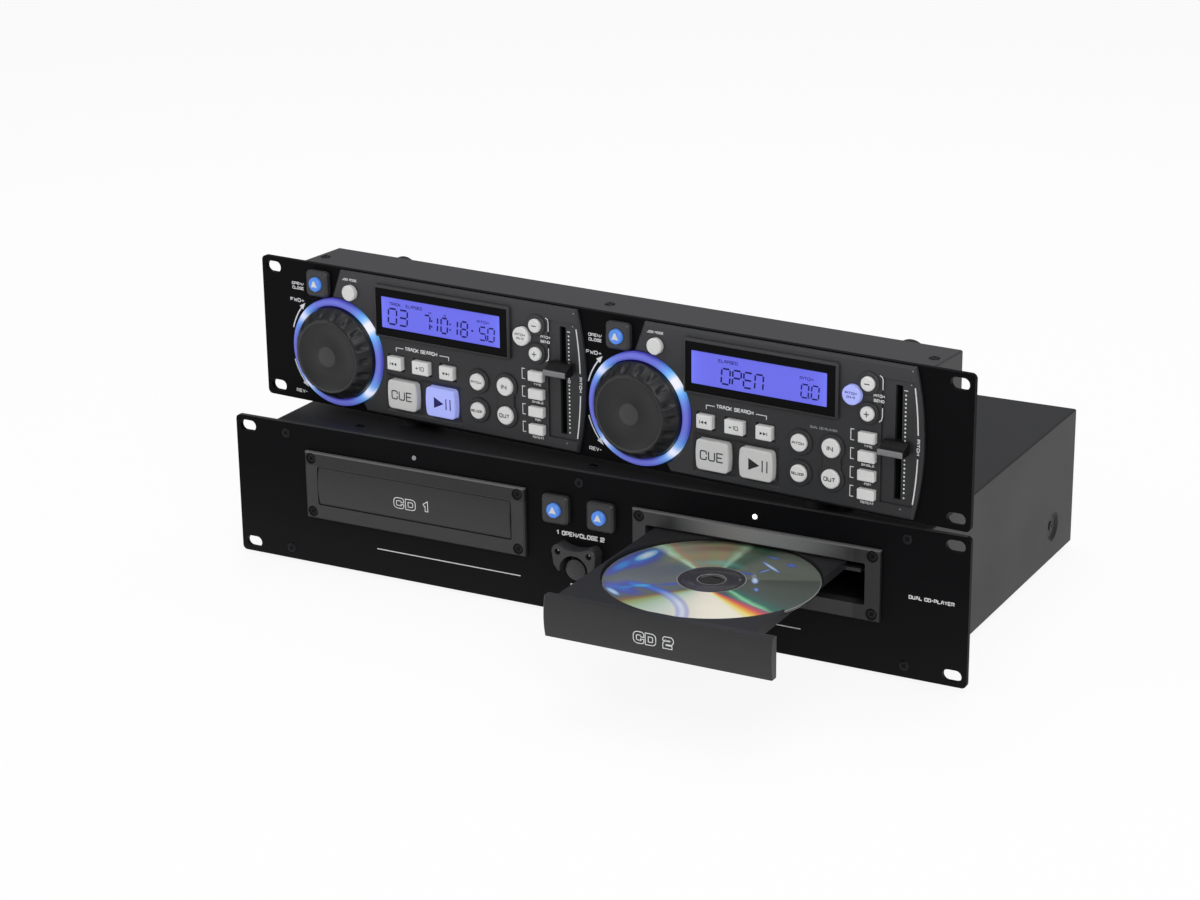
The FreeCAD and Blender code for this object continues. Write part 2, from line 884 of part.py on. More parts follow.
def bezel_screw_places():
    low = S.bezel_bottom + S.bezel_screw_inset
    high = S.bezel_top - S.bezel_screw_inset + S.fit_gap
    for side in deck_sides():
        for x in (-S.bezel_screw_x, S.bezel_screw_x):
            for z in (low, high):
                yield side * S.tray_offset + x, z


def tray_bezels():
    """Moulded surround of each tray opening, with a bevelled rim and sunk screw seats."""
    bezels = []
    for side in deck_sides():
        centre = side * S.tray_offset
        span, height = around(centre, S.bezel_width), (S.bezel_bottom, S.bezel_top)
        plate = soften("Chamfer", block(span, (-S.bezel_proud, 0), height), 0.8, rim(-S.bezel_proud))
        opening = rounded_block(
            around(centre, S.opening_width),
            (-S.bezel_proud - 1, S.panel_thick + S.sheet_thick + 1),
            (S.opening_bottom, S.opening_top),
            1.2,
        )
        collar = block(
            around(centre, S.opening_width + S.fit_gap),
            (-0.5, S.panel_thick + S.sheet_thick),
            (S.opening_bottom - S.fit_gap / 2, S.opening_top + S.fit_gap / 2),
        )
        seats = [
            fuse(
                bar_y(x, z, S.screw_head + 0.4, -S.bezel_proud - 1, -S.bezel_proud + 1.2),
                bar_y(x, z, S.screw_shank, -S.bezel_proud - 1, 1),
            )
            for x, z in bezel_screw_places()
            if (x.value > 0) == (side > 0)
        ]
        bezels.append(cut(fuse(plate, collar), opening, *seats))
    finish(group(*bezels), "tray_bezels", "drive")


def drive_screws():
    """Panel, bezel and cover screws of the drive unit."""
    items = [screw(x, z, size(0)) for x, z in panel_screw_places()]
    items += [screw(x, z, -S.bezel_proud + 1.2) for x, z in bezel_screw_places()]
    for side, y in dish_places():
        seat = side * (S.drive_width / 2 - S.dish_depth)
        crown = side * (S.drive_width / 2 - S.dish_depth + S.screw_rise)
        left, right = (crown, seat) if side < 0 else (seat, crown)
        items.append(bar_x(y, S.dish_height, S.screw_head, left, right))
    for x in (-S.drive_width / 2 + COVER_SCREW_INSET, size(0), S.drive_width / 2 - COVER_SCREW_INSET):
        y = S.panel_thick + COVER_SCREW_SETBACK
        items.append(bar_z(x, y, S.screw_head, S.case_top, S.case_top + S.screw_rise))
    finish(group(*items), "drive_screws", "drive")


# ---------------------------------------------------------------- drive unit: panel fittings


def pillow(x, z, hole):
    """Square moulded pad with softened corners, bored for the round button in its middle."""
    block_ = rounded_block(around(x, S.pad_side), (-S.pad_proud, 0), around(z, S.pad_side), S.pad_corner)
    soft = soften("Chamfer", block_, S.pad_bevel, rim(-S.pad_proud))
    return cut(soft, bar_y(x, z, hole, -S.pad_proud - 1, 1))


def guard_ears(radius, front):
    """Round bars through the guard's two ears, from one depth to the panel."""
    ear_z = S.power_height + S.guard_ear_rise
    return [bar_y(side * S.guard_ear_x, ear_z, radius, front, 0) for side in (-1, 1)]


def power_guard():
    """Raised guard over the power button: two screwed ears joined by a dipped top, and two pointed horns."""
    body = new_body("Guard")
    sketch = new_sketch(body, "XZ")
    ear_z = S.power_height + S.guard_ear_rise
    side_z, tip_z = S.power_height + S.guard_side_rise, S.power_height - S.guard_tip_drop
    half, ear_top = S.guard_ear_x + S.guard_ear_radius, ear_z + S.guard_ear_radius
    right = [(S.guard_tip_x, tip_z), (S.guard_side_x, side_z), (half, ear_z), (S.guard_ear_x, ear_top)]
    outline(sketch, right + [(-x, z) for x, z in reversed(right)])
    pad(body, sketch, S.guard_proud, back=False)
    above = -S.guard_proud - 1
    dip = bar_y(0, ear_top - S.guard_dip + S.guard_dip_radius, S.guard_dip_radius, above, 1)
    well = bar_y(0, S.power_height, S.power_radius + S.guard_gap, above, 1)
    guard = cut(fuse(body, *guard_ears(S.guard_ear_radius, -S.guard_proud)), dip, well)
    guard = soften("Chamfer", guard, 0.7, rim(-S.guard_proud))
    return cut(guard, *guard_ears(1.9, above))


def panel_guards():
    pads = [pillow(side * S.eject_pad_x, S.eject_pad_z, S.lens_radius + S.fit_gap) for side in deck_sides()]
    finish(group(*pads, power_guard()), "panel_guards", "drive")


def indicator_lights():
    lights = []
    for side in deck_sides():
        x, radius = side * S.led_offset, S.led_radius
        lens = soften("Chamfer", bar_y(x, S.led_height, radius, -0.6, S.panel_thick), 0.4, rim(-0.6))
        flange = bar_y(x, S.led_height, radius + S.flange_lip - 0.1, S.panel_thick, S.panel_thick + S.flange_thick)
        lights.append(fuse(lens, flange))
    finish(group(*lights), "indicator_lights", "drive")


def round_button(x, z, radius, front, seat):
    """Round button: a crowned cap, and a flange that holds it behind the plate at one depth."""
    x, z = size(x), size(z)
    cap = soften("Chamfer", bar_y(x, z, radius, front, seat + S.fit_gap), S.key_bevel, rim(front))
    flange = bar_y(x, z, radius + S.flange_lip, seat + S.fit_gap, seat + S.fit_gap + S.flange_thick)
    return fuse(cap, flange)


def flanged(cap, x, z, width, height, front, seat):
    """Key with a bevelled front, and a flange that holds it behind the plate at one depth."""
    flange = block(
        around(x, size(width) + S.flange_lip * 2),
        (seat + S.fit_gap, seat + S.fit_gap + S.flange_thick),
        around(z, size(height) + S.flange_lip * 2),
    )
    return fuse(soften("Chamfer", cap, S.key_bevel, rim(front)), flange)


def barrel(x, z, width, tall, corner, front, back):
    """Key shape with round corners, its left and right sides bulging out by one amount."""
    half, up = size(width) / 2, size(tall) / 2
    bend = (up * up + S.key_bulge * S.key_bulge) / (S.key_bulge * 2)
    sides = [bar_y(x + (half - bend) * side, z, bend, front, back) for side in (-1, 1)]
    shape = common(block(around(x, width), (front, back), around(z, tall)), common(*sides))
    return soften("Fillet", shape, corner, along_depth)


def drive_buttons():
    for number, side in enumerate(deck_sides(), 1):
        button = round_button(
            side * S.eject_pad_x, S.eject_pad_z, S.lens_radius, -S.pad_proud - S.lens_proud, size(0)
        )
        finish(button, f"drive_eject_button_{number}", "drive")
    power = round_button(0, S.power_height, S.power_radius, -S.power_proud, size(0))
    dome = ball((0, S.power_dome - S.power_proud, S.power_height), S.power_dome)
    finish(common(power, dome), "power_button", "drive")


# ---------------------------------------------------------------- drive unit: trays


def travel():
    """A whole number of rack teeth, so that the pinion meshes alike at both ends."""
    return S.rack_steps * S.tooth_module * math.pi


def tray_shift(number):
    """Tray 1 rests shut and tray 2 rests open."""
    return -travel() if number == 2 else size(0)


def tray_centre(number):
    return deck_sides()[number - 1] * S.tray_offset


def door_front():
    return -S.door_proud - S.door_crown


def disc_y(number):
    return door_front() + S.disc_setback + tray_shift(number)


def tray(number):
    """Sliding tray: a plate with the disc's recess, two guide rails at its rear and the rack below it."""
    centre, shift = tray_centre(number), tray_shift(number)
    start = door_front() + S.door_crown + S.door_thick + shift
    end = S.tray_end + shift
    rail = S.rail_start + shift
    middle = disc_y(number)
    plate = block((centre - S.tray_left, centre + S.tray_right), (start, end), (S.tray_under, S.tray_top))
    wings = block(
        around(centre, S.rail_half_width * 2),
        (rail, end),
        (S.tray_under, S.tray_under + S.rail_thick),
    )
    floor = S.tray_floor
    recess = fuse(
        bar_z(centre, middle, S.recess_radius, floor, S.tray_top + 1),
        bar_z(centre, middle, S.small_recess, floor - S.small_recess_drop, S.tray_top + 1),
    )
    pickup_slot = fuse(
        bar_z(centre, middle, S.turntable_radius + 4, S.tray_under - 1, S.tray_top),
        block(
            around(centre, S.turntable_radius * 2 + 4),
            (middle, middle + S.small_recess - 2),
            (S.tray_under - 1, S.tray_top),
        ),
    )
    whole = cut(fuse(plate, wings), recess, pickup_slot)
    return fuse(whole, rack(number))


def rack(number):
    """Toothed rack under the tray, its teeth towards the tray's middle."""
    pitch = S.tooth_module * math.pi
    line = tray_centre(number) - S.rack_line
    start = S.pinion_setback + tray_shift(number) - pitch * 2
    count = int(DIMENSIONS["rack_steps"]) + 4
    tip, root = S.tooth_module * 0.95, S.tooth_module * 1.3
    narrow, wide = pitch / 4 - BACKLASH - tip * FLANK, pitch / 4 - BACKLASH + root * FLANK
    body = new_body(f"Rack{number}")
    level = S.tray_under - S.pinion_width - 1
    back = new_sketch(body, "XY", level)
    rectangle(back, (line - S.rack_back, line - root), (start - pitch / 2, start + pitch * (count - 0.5)))
    pad(body, back, S.pinion_width + 1.5, back=False)
    tooth = new_sketch(body, "XY", level)
    outline(
        tooth,
        [
            (line - root - 0.5, start - wide),
            (line - root, start - wide),
            (line + tip, start - narrow),
            (line + tip, start + narrow),
            (line - root, start + wide),
            (line - root - 0.5, start + wide),
        ],
    )
    raised = pad(body, tooth, S.pinion_width + 1.5, back=False)
    row = body.newObject("PartDesign::LinearPattern", f"Rack{number}_teeth")
    row.Originals = [raised]
    row.Direction = (tooth, ["V_Axis"])
    row.Length = (pitch * (count - 1)).value
    bind(row, "Length", pitch * (count - 1))
    row.Occurrences = count
    body.Tip = row
    return body


BACKLASH = 0.06
FLANK = math.tan(math.radians(20))


def involute(radius, base):
    """Polar angle that an involute has turned through at one radius."""
    slope = math.acos(min(1.0, base / radius))
    return math.tan(slope) - slope


def pinion(number):
    """Spur gear that drives the rack, on an upright post of the loading frame."""
    teeth, pitch_radius = int(DIMENSIONS["pinion_teeth"]), S.tooth_module * S.pinion_teeth / 2
    base = math.cos(math.radians(20))
    outer, root = 1 + 0.95 * 2 / teeth, 1 - 1.3 * 2 / teeth
    half = math.pi / (2 * teeth) - BACKLASH / pitch_radius.value + involute(1, base)
    steps = [max(base, root) + (outer - max(base, root)) * step / 3 for step in range(4)]
    flank = [(radius, half - involute(radius, base)) for radius in steps]
    low = (root - 0.05, flank[0][1])
    turn = math.pi / teeth
    trace = [(r, turn - a) for r, a in [low, *flank]] + [(r, turn + a) for r, a in reversed([low, *flank])]
    body = new_body(f"Pinion{number}")
    level = S.tray_under - S.fit_gap * 2 - S.pinion_width
    core = new_sketch(body, "XY", level)
    ring_line(core, 0, 0, pitch_radius * root)
    ring_line(core, 0, 0, S.post_radius + S.post_gap)
    pad(body, core, S.pinion_width, back=False)
    tooth = new_sketch(body, "XY", level)
    outline(tooth, [(pitch_radius * (r * math.cos(a)), pitch_radius * (r * math.sin(a))) for r, a in trace])
    raised = pad(body, tooth, S.pinion_width, back=False)
    ring = body.newObject("PartDesign::PolarPattern", f"Pinion{number}_teeth")
    ring.Originals = [raised]
    ring.Axis = (tooth, ["N_Axis"])
    ring.Angle = 360
    ring.Occurrences = teeth
    body.Tip = ring
    x = tray_centre(number) - S.rack_line + pitch_radius
    return shifted(body, (x, S.pinion_setback, 0))


def tray_door(number):
    """Front of the tray: a plate with a crowned face and a stiffening rib at each end of its back."""
    centre, shift = tray_centre(number), tray_shift(number)
    low = S.opening_bottom + S.door_gap
    high = S.opening_top - S.door_gap
    half = S.opening_width / 2 - S.door_gap
    front = door_front() + shift
    back = front + S.door_crown + S.door_thick
    plate = block((centre - half, centre + half), (front, back), (low, high))
    sagitta, chord = DIMENSIONS["door_crown"], (high - low).value / 2
    radius = (chord * chord + sagitta * sagitta) / (2 * sagitta)
    crown = bar_x(front + radius, (low + high) / 2, radius, centre - half - 1, centre + half + 1)
    skin = soften("Chamfer", common(plate, crown), 0.5, door_end)
    hollow = block(
        (centre - half + S.door_rib, centre + half - S.door_rib),
        (back - S.door_thick + S.door_rib, back + 1),
        (low + S.door_rib, S.tray_under - 1),
    )
    return cut(skin, hollow)


def door_end(edge):
    """Curved end edges of the door's crowned face."""
    return edge.BoundBox.XLength < 1e-4 and edge.BoundBox.YLength > 1 and edge.BoundBox.ZLength > 1


def trays():
    for number in (1, 2):
        finish(tray(number), f"tray_{number}", "drive")
        finish(tray_door(number), f"tray_door_{number}", "drive")
        finish(group(pinion(number)), f"tray_pinion_{number}", "drive")


def disc_two():
    """The disc lying in the open tray."""
    plate = bar_z(tray_centre(2), disc_y(2), S.disc_radius, disc_low(), disc_low() + S.disc_thick)
    hole = bar_z(tray_centre(2), disc_y(2), S.disc_hole, disc_low() - 1, disc_low() + S.disc_thick + 1)
    finish(cut(plate, hole), "disc_2", "drive")


def disc_low():
    return S.tray_floor + 0.1


def loading_frame(number):
    """Frame that guides one tray, with the turntable, the optical pickup and the pinion's post on its floor."""
    centre = tray_centre(number)
    half, wall = S.frame_half, S.frame_wall
    front, back = S.frame_start, S.frame_end
    floor, top = S.frame_floor, S.frame_floor + 2.5
    parts = [block(around(centre, half * 2 + wall * 2), (front, back), (floor, top))]
    for side in (-1, 1):
        inner, outer = centre + side * half, centre + side * (half + wall)
        reach = centre + side * (half - S.ledge_reach)
        wall_span = (inner, outer) if side > 0 else (outer, inner)
        ledge_span = (reach, inner) if side > 0 else (inner, reach)
        parts.append(block(wall_span, (front, back), (floor, S.frame_top)))
        under, over = S.tray_under - S.fit_gap, S.tray_under + S.rail_thick + S.fit_gap
        parts.append(block(ledge_span, (front, back), (under - S.ledge_thick, under)))
        parts.append(block(ledge_span, (front, back), (over, over + S.ledge_thick)))
    post_x = centre - S.rack_line + S.tooth_module * S.pinion_teeth / 2
    parts.append(bar_z(post_x, S.pinion_setback, S.post_radius, top, S.tray_under - S.fit_gap))
    parts.append(
        bar_z(post_x, S.pinion_setback, S.post_radius * 2, top, S.tray_under - S.fit_gap * 3 - S.pinion_width)
    )
    floor_low = S.case_bottom + S.sheet_thick
    for x in (centre - half + 8, centre + half - 8):
        for y in (front + 12, back - 12):
            parts.append(bar_z(x, y, 4, floor_low, floor))
    spindle_y = door_front() + S.disc_setback
    parts.append(bar_z(centre, spindle_y, S.spindle_motor, top, top + 13))
    parts.append(bar_z(centre, spindle_y, S.turntable_radius, top + 14, top + 17))
    parts.append(bar_z(centre, spindle_y, 2.0, top + 12, top + 18))
    pickup = block(around(centre, 34), (spindle_y + 18, spindle_y + 42), (top + 6, top + 14))
    lens = bar_z(centre, spindle_y + 26, 4, top + 13, top + 15.5)
    rods = [
        bar((x, spindle_y + 14, top + 10), 1.5, 50, ALONG_Y) for x in (centre - 13, centre + 13)
    ]
    ends = [
        block(around(centre, 34), (y, y + 4), (top - 1, top + 13)) for y in (spindle_y + 14, spindle_y + 60)
    ]
    return fuse(*parts, pickup, lens, *rods, *ends)


def loader_mechanisms():
    finish(group(*[loading_frame(number) for number in (1, 2)]), "loader_mechanisms", "drive")


# ---------------------------------------------------------------- control unit


# Keys of one deck: x from the edge of the jog wheel's ring, height, and the radius or the width and tallness.
ROUND_KEYS = {
    "pitch_on_button": (71.4, 34.7, 5.0),
    "reloop_button": (71.4, 16.9, 5.0),
    "in_button": (91.3, 35.0, 5.5),
    "out_button": (91.3, 17.2, 5.5),
    "pitch_mode_button": (103.5, 67.6, 5.6),
    "bend_down_button": (113.2, 75.4, 4.1),
    "bend_up_button": (113.2, 58.4, 4.1),
}
LARGE_KEYS = {
    "cue_button": (16.3, 17.1, 21.6, 17.9),
    "play_button": (44.5, 17.1, 21.6, 17.9),
}
SEARCH_KEYS = ((11.0, 36.4, 10.2, 8.2), (30.2, 36.4, 12.0, 8.2), (49.2, 36.4, 10.0, 8.2))
LARGE_KEY_CORNER = 2.4
SMALL_KEY_CORNER = 0.7
MODE_KEY_X = 113.2
MODE_KEY_TOP = 44.6
MODE_KEY_PITCH = 10.85
MODE_KEY_SIZE = (10.4, 6.1)
# Above the jog wheel: x from its axis, height over the ring's edge, and the radius.
EJECT_KEY = (-14.0, 7.7)
JOG_MODE_KEY = (11.8, 6.0, 4.8)
CONTROL_PAD_SIDE = 16.0


def deck_x(deck):
    return S.deck_one_x + S.deck_pitch * (deck - 1)


def key_x(deck):
    """Edge of the jog wheel's ring, where the keys to its right are measured from."""
    return deck_x(deck) + S.ring_outer


def over_ring(height):
    return S.jog_z + S.ring_outer + height


def eject_place(deck):
    return deck_x(deck) + EJECT_KEY[0], over_ring(EJECT_KEY[1])


def round_keys(deck):
    """Every plain round key of a deck: name, x, height and radius."""
    across, height, radius = JOG_MODE_KEY
    yield "jog_mode_button", deck_x(deck) + across, over_ring(height), radius
    for name, (across, height, radius) in ROUND_KEYS.items():
        yield name, key_x(deck) + across, size(height), radius


def mode_keys():
    for row in range(4):
        yield MODE_KEY_X, MODE_KEY_TOP - MODE_KEY_PITCH * row, *MODE_KEY_SIZE


def flat_keys():
    """Every rectangular key of a deck: x, height, width and tallness."""
    return [*LARGE_KEYS.values(), *SEARCH_KEYS, *mode_keys()]


def control_front_panel():
    body = panel_blank("ControlPanel")
    holes = new_sketch(body, "XZ")
    for deck in (1, 2):
        x, edge = deck_x(deck), key_x(deck)
        rectangle(holes, (edge + 2, edge + 138.5), (S.fascia_base + 3.4, S.fascia_top - 3.4))
        ring_line(holes, x, S.jog_z, S.jog_bore + 1)
        ring_line(holes, *eject_place(deck), S.lens_radius + S.flange_lip + S.fit_gap * 2)
        ring_line(holes, x + JOG_MODE_KEY[0], over_ring(JOG_MODE_KEY[1]), 6.6)
    pocket(body, holes)
    finish(body, "control_front_panel", "control")


def control_back():
    return S.panel_thick + S.control_depth


def control_housing():
    """Shallow steel box behind the control panel, open at the front."""
    half = S.control_width / 2
    front, back = S.panel_thick, control_back()
    outer = block((-half, half), (front, back), (S.case_bottom, S.case_top))
    inner = block(
        (-half + S.sheet_thick, half - S.sheet_thick),
        (front - 1, back - S.sheet_thick),
        (S.case_bottom + S.sheet_thick, S.case_top - S.sheet_thick),
    )
    sockets = [bar_y(x, z, DIN_RADIUS + 0.2, back - 3, back + 1) for x, z in control_sockets()]
    box = soften("Fillet", outer, S.sheet_thick, along_depth)
    finish(cut(box, inner, *sockets), "control_housing", "control")


def control_sockets():
    for side in (-1, 1):
        yield side * 40.0, 44.0


def control_feet():
    """Four tall rubber feet on the rear, and four low ones under the housing."""
    back = control_back()
    feet = []
    for side in (-1, 1):
        for z in (S.rear_foot_low, S.rear_foot_high):
            foot = bar_y(side * S.rear_foot_x, z, S.rear_foot_radius, back, back + S.rear_foot_height)
            feet.append(soften("Chamfer", foot, 1.5, rim(back + S.rear_foot_height)))
        low = S.case_top - S.control_z + S.fit_gap / 3
        for y in (S.panel_thick + 9, back - 9):
            feet.append(bar_z(side * S.base_foot_x, y, S.base_foot_radius, low, S.case_bottom))
    finish(group(*feet), "control_feet", "control")


def fascia(deck):
    """Deck fascia: a bevelled moulding cut away round the jog wheel, with a bowed right side."""
    x, edge = deck_x(deck), key_x(deck)
    top, base, right = S.fascia_top, S.fascia_base, edge + S.fascia_span
    body = new_body(f"Fascia{deck}")
    sketch = new_sketch(body, "XZ")
    outline(
        sketch,
        [
            (x + S.fascia_left, top),
            (x - S.fascia_left * 1.4, S.jog_z + S.ring_inner),
            (x, S.jog_z),
            (x + S.fascia_foot, base),
            (right, base),
            (right, top),
        ],
    )
    pad(body, sketch, S.fascia_proud, back=False)
    bow = bar_y(right - S.fascia_bow, S.panel_height / 2, S.fascia_bow, -S.fascia_proud - 1, 1)
    seat = bar_y(x, S.jog_z, S.ring_outer + 0.5, -S.fascia_proud - 1, 1)
    blank = soften("Chamfer", cut(common(body, bow), seat), S.fascia_bevel, rim(-S.fascia_proud))
    raised = fuse(blank, *collars(deck), display_surround(edge))
    return cut(raised, *fascia_wells(edge), *fascia_holes(deck))


def collars(deck):
    """Low raised rings round the pitch keys, and one waisted plateau round the two loop keys."""
    front = -S.fascia_proud - S.collar_proud
    rings, loop = [], []
    for name, x, z, radius in round_keys(deck):
        if name in ("in_button", "out_button"):
            loop.append(bar_y(x, z, radius + S.collar_narrow, front, -S.fascia_proud))
        elif name not in ("jog_mode_button", "pitch_mode_button"):
            width = S.collar_narrow if name.startswith("bend") else S.collar_wide
            outer = bar_y(x, z, radius + width, front, -S.fascia_proud)
            rings.append(soften("Chamfer", outer, 0.5, rim(front)))
    (middle, high, _), (_, low, _) = ROUND_KEYS["in_button"], ROUND_KEYS["out_button"]
    waist = block(around(key_x(deck) + middle, S.cluster_waist * 2), (front, -S.fascia_proud), (low, high))
    return [*rings, soften("Chamfer", fuse(waist, *loop), 0.5, rim(front))]


def display_surround(edge):
    frame = rounded_block(
        around(edge + S.display_x, S.display_width),
        (-S.fascia_proud - S.display_proud, -S.fascia_proud),
        around(S.display_z, S.display_height),
        1.5,
    )
    return soften("Chamfer", frame, 0.7, rim(-S.fascia_proud - S.display_proud))


def fascia_wells(edge):
    """Shallow wells: one with sloping sides round the two large keys, and one round each search key."""
    left, right = LARGE_KEYS["cue_button"], LARGE_KEYS["play_button"]
    margin = S.key_well_gap
    across = (edge + left[0] - left[2] / 2 - margin, edge + right[0] + right[2] / 2 + margin)
    front, floor = -S.fascia_proud, -S.fascia_proud + S.key_well_depth
    up = (left[1] - left[3] / 2 - margin, left[1] + left[3] / 2 + margin)
    tools = [hopper(across, (front, floor), up, S.key_well_slope)]
    for x, z, width, tall in SEARCH_KEYS:
        spans = around(edge + x, width + S.search_well_gap * 2), around(z, tall + S.search_well_gap * 2)
        tools.append(block(spans[0], (front - 1, front + S.search_well_depth), spans[1]))
    return tools


def fascia_holes(deck):
    """Cut-outs of one fascia: keys, display, fader slot and its recessed strip."""
    edge = key_x(deck)
    front, back = -S.fascia_proud - 3, 1
    gap = S.fit_gap
    tools = [bar_y(x, z, radius + gap, front, back) for _, x, z, radius in round_keys(deck)]
    for across, height, width, tall in [*SEARCH_KEYS, *mode_keys()]:
        spans = around(edge + across, width + gap * 2), around(height, tall + gap * 2)
        tools.append(block(spans[0], (front, back), spans[1]))
    for across, height, width, tall in LARGE_KEYS.values():
        place = edge + across, height, width + gap * 2, tall + gap * 2
        tools.append(barrel(*place, LARGE_KEY_CORNER, front, back))
    tools.append(
        block(
            around(edge + S.display_x, S.display_width - 3),
            (front, back),
            around(S.display_z, S.display_height - 3),
        )
    )
    floor = -S.fascia_proud + S.fader_recess_depth
    reach = S.fader_travel * 2
    strip = around(edge + S.fader_recess_x, S.fader_recess)
    tools.append(block(strip, (front, floor), around(S.fader_z, reach + 11)))
    tools.append(block(around(edge + S.fader_x, S.fader_slot), (front, back), around(S.fader_z, reach + 5)))
    return tools


def deck_fascias():
    finish(group(fascia(1), fascia(2)), "deck_fascias", "control")


def displays():
    """Display modules: a black frame and the lit window sunk in it."""
    items = []
    for deck in (1, 2):
        edge = key_x(deck)
        inset = 3 + S.fit_gap
        front = -S.fascia_proud - S.display_proud + 0.4
        frame = block(
            around(edge + S.display_x, S.display_width - inset),
            (front, 0),
            around(S.display_z, S.display_height - inset),
        )
        hollow = block(
            around(edge + S.window_x, S.window_width),
            (front - 1, front + S.window_sunk),
            around(S.window_z, S.window_height),
        )
        items.append(cut(frame, hollow))
    finish(group(*items), "displays", "control")


def light_rings():
    """Translucent ring round each jog wheel, with a domed front."""
    rings = []
    for deck in (1, 2):
        inner, outer, front = S.ring_inner, S.ring_outer, S.ring_proud
        body = turned(
            f"Ring{deck}",
            [
                (0, inner),
                (-front * 0.72, inner),
                (-front, inner + 1.2),
                (-front, outer - 1.8),
                (-front * 0.6, outer),
                (0, outer),
            ],
        )
        rings.append(shifted(body, (deck_x(deck), 0, S.jog_z)))
    finish(group(*rings), "light_rings", "control")


DIMPLES = 18


def jog_wheel(deck):
    """Jog wheel: a turned cap with a bevel, finger dimples round it and a bored hub behind."""
    front, face, outer = -S.jog_front, S.jog_face_radius, S.jog_radius
    bore = S.jog_bore + S.post_gap
    body = turned(
        f"Jog{deck}",
        [
            (front + 0.5, 0),
            (front + 0.5, 6.6),
            (front + 0.2, 7.0),
            (front + 0.2, face - 1.6),
            (front, face - 1.2),
            (front, face - 0.4),
            (front + 0.6, face + 0.4),
            (-S.jog_shoulder, outer),
            (-1.0, outer),
            (-1.0, outer - 2.2),
            (-S.jog_shoulder, outer - 2.6),
            (front + 4.2, face - 2.2),
            (front + 4.2, bore + 4),
            (-1.0, bore + 4),
            (-1.0, bore),
            (front + 4.2, bore),
            (front + 4.2, 0),
        ],
    )
    dimple = body.newObject("PartDesign::SubtractiveSphere", f"Dimple{deck}")
    dimple.Radius = S.jog_dimple.value
    bind(dimple, "Radius", S.jog_dimple)
    DOC.recompute()
    lift = S.jog_dimple - S.jog_dimple_depth
    stand(dimple, (0, (front - S.jog_shoulder) / 2 - lift * 0.487, (face + outer) / 2 + lift * 0.873))
    body.Tip = dimple
    ring = body.newObject("PartDesign::PolarPattern", f"Dimples{deck}")
    ring.Originals = [dimple]
    ring.Axis = (next(item for item in body.Origin.OriginFeatures if item.Role == "Y_Axis"), [""])
    ring.Angle = 360
    ring.Occurrences = DIMPLES
    body.Tip = ring
    return shifted(body, (deck_x(deck), 0, S.jog_z))


def jog_wheels():
    for deck in (1, 2):
        finish(group(jog_wheel(deck)), f"jog_wheel_{deck}", "control")


def pitch_fader(deck):
    """Fader knob: a wedge that thins towards its tip, on a flat stem that passes through the slot."""
    x = key_x(deck) + S.fader_x
    z = S.fader_z + (S.fader_rest_one if deck == 1 else 0)
    base = -S.fascia_proud - S.fit_gap
    body = new_body(f"Fader{deck}")
    sketch = new_sketch(body, "YZ", x - S.knob_width / 2)
    tip = -S.knob_reach
    high, low = z + S.knob_rise, z - S.knob_drop
    outline(
        sketch,
        [
            (base, low),
            (base, high),
            (base - 1.6, high - 0.3),
            (base - 5.8, low + S.knob_tip + 1.0),
            (tip + 0.6, low + S.knob_tip),
            (tip, low + S.knob_tip - 0.8),
            (tip, low + 0.8),
            (tip + 0.8, low),
        ],
    )
    pad(body, sketch, S.knob_width, back=False)
    stem = block(around(x, S.fader_slot - S.fit_gap * 4), (base - 1, S.board_setback - 2), around(z, 3.0))
    return fuse(body, stem)


def pitch_faders():
    for deck in (1, 2):
        finish(pitch_fader(deck), f"pitch_fader_{deck}", "control")


def control_eject_pads():
    pads = []
    for deck in (1, 2):
        x, z = eject_place(deck)
        body = rounded_block(around(x, CONTROL_PAD_SIDE), (-S.pad_proud, 0), around(z, CONTROL_PAD_SIDE), S.pad_corner)
        soft = soften("Chamfer", body, S.pad_bevel, rim(-S.pad_proud))
        pads.append(cut(soft, bar_y(x, z, S.lens_radius + S.fit_gap, -S.pad_proud - 1, 1)))
    finish(group(*pads), "control_eject_pads", "control")


def deck_buttons(deck):
    """All keys of one deck. The three search keys share a carrier, and so do the four mode keys."""
    edge = key_x(deck)
    front = -S.fascia_proud - S.button_proud
    seat = size(0)
    eject = round_button(*eject_place(deck), S.lens_radius, -S.pad_proud - S.lens_proud, seat)
    finish(eject, f"eject_button_{deck}", "control")
    for name, x, z, radius in round_keys(deck):
        finish(round_button(x, z, radius, front, seat), f"{name}_{deck}", "control")
    for name, (across, height, width, tall) in LARGE_KEYS.items():
        cap = barrel(edge + across, height, width, tall, LARGE_KEY_CORNER, front, seat + S.fit_gap)
        finish(flanged(cap, edge + across, height, width, tall, front, seat), f"{name}_{deck}", "control")
    finish(key_bank(edge, SEARCH_KEYS, front, seat), f"search_keys_{deck}", "control")
    finish(key_bank(edge, list(mode_keys()), front, seat), f"mode_keys_{deck}", "control")


def key_bank(edge, keys, front, seat):
    """Several small keys moulded on one carrier strip behind the fascia."""
    behind = seat + S.fit_gap
    caps = []
    for across, height, width, tall in keys:
        x = edge + across
        cap = rounded_block(around(x, width), (front, behind), around(height, tall), SMALL_KEY_CORNER)
        caps.append(flanged(cap, x, height, width, tall, front, seat))
    across = [key[0] for key in keys]
    up = [key[1] for key in keys]
    strip = block(
        (edge + min(across) - 2, edge + max(across) + 2),
        (behind, behind + S.flange_thick),
        (min(up) - 2, max(up) + 2),
    )
    return fuse(*caps, strip)


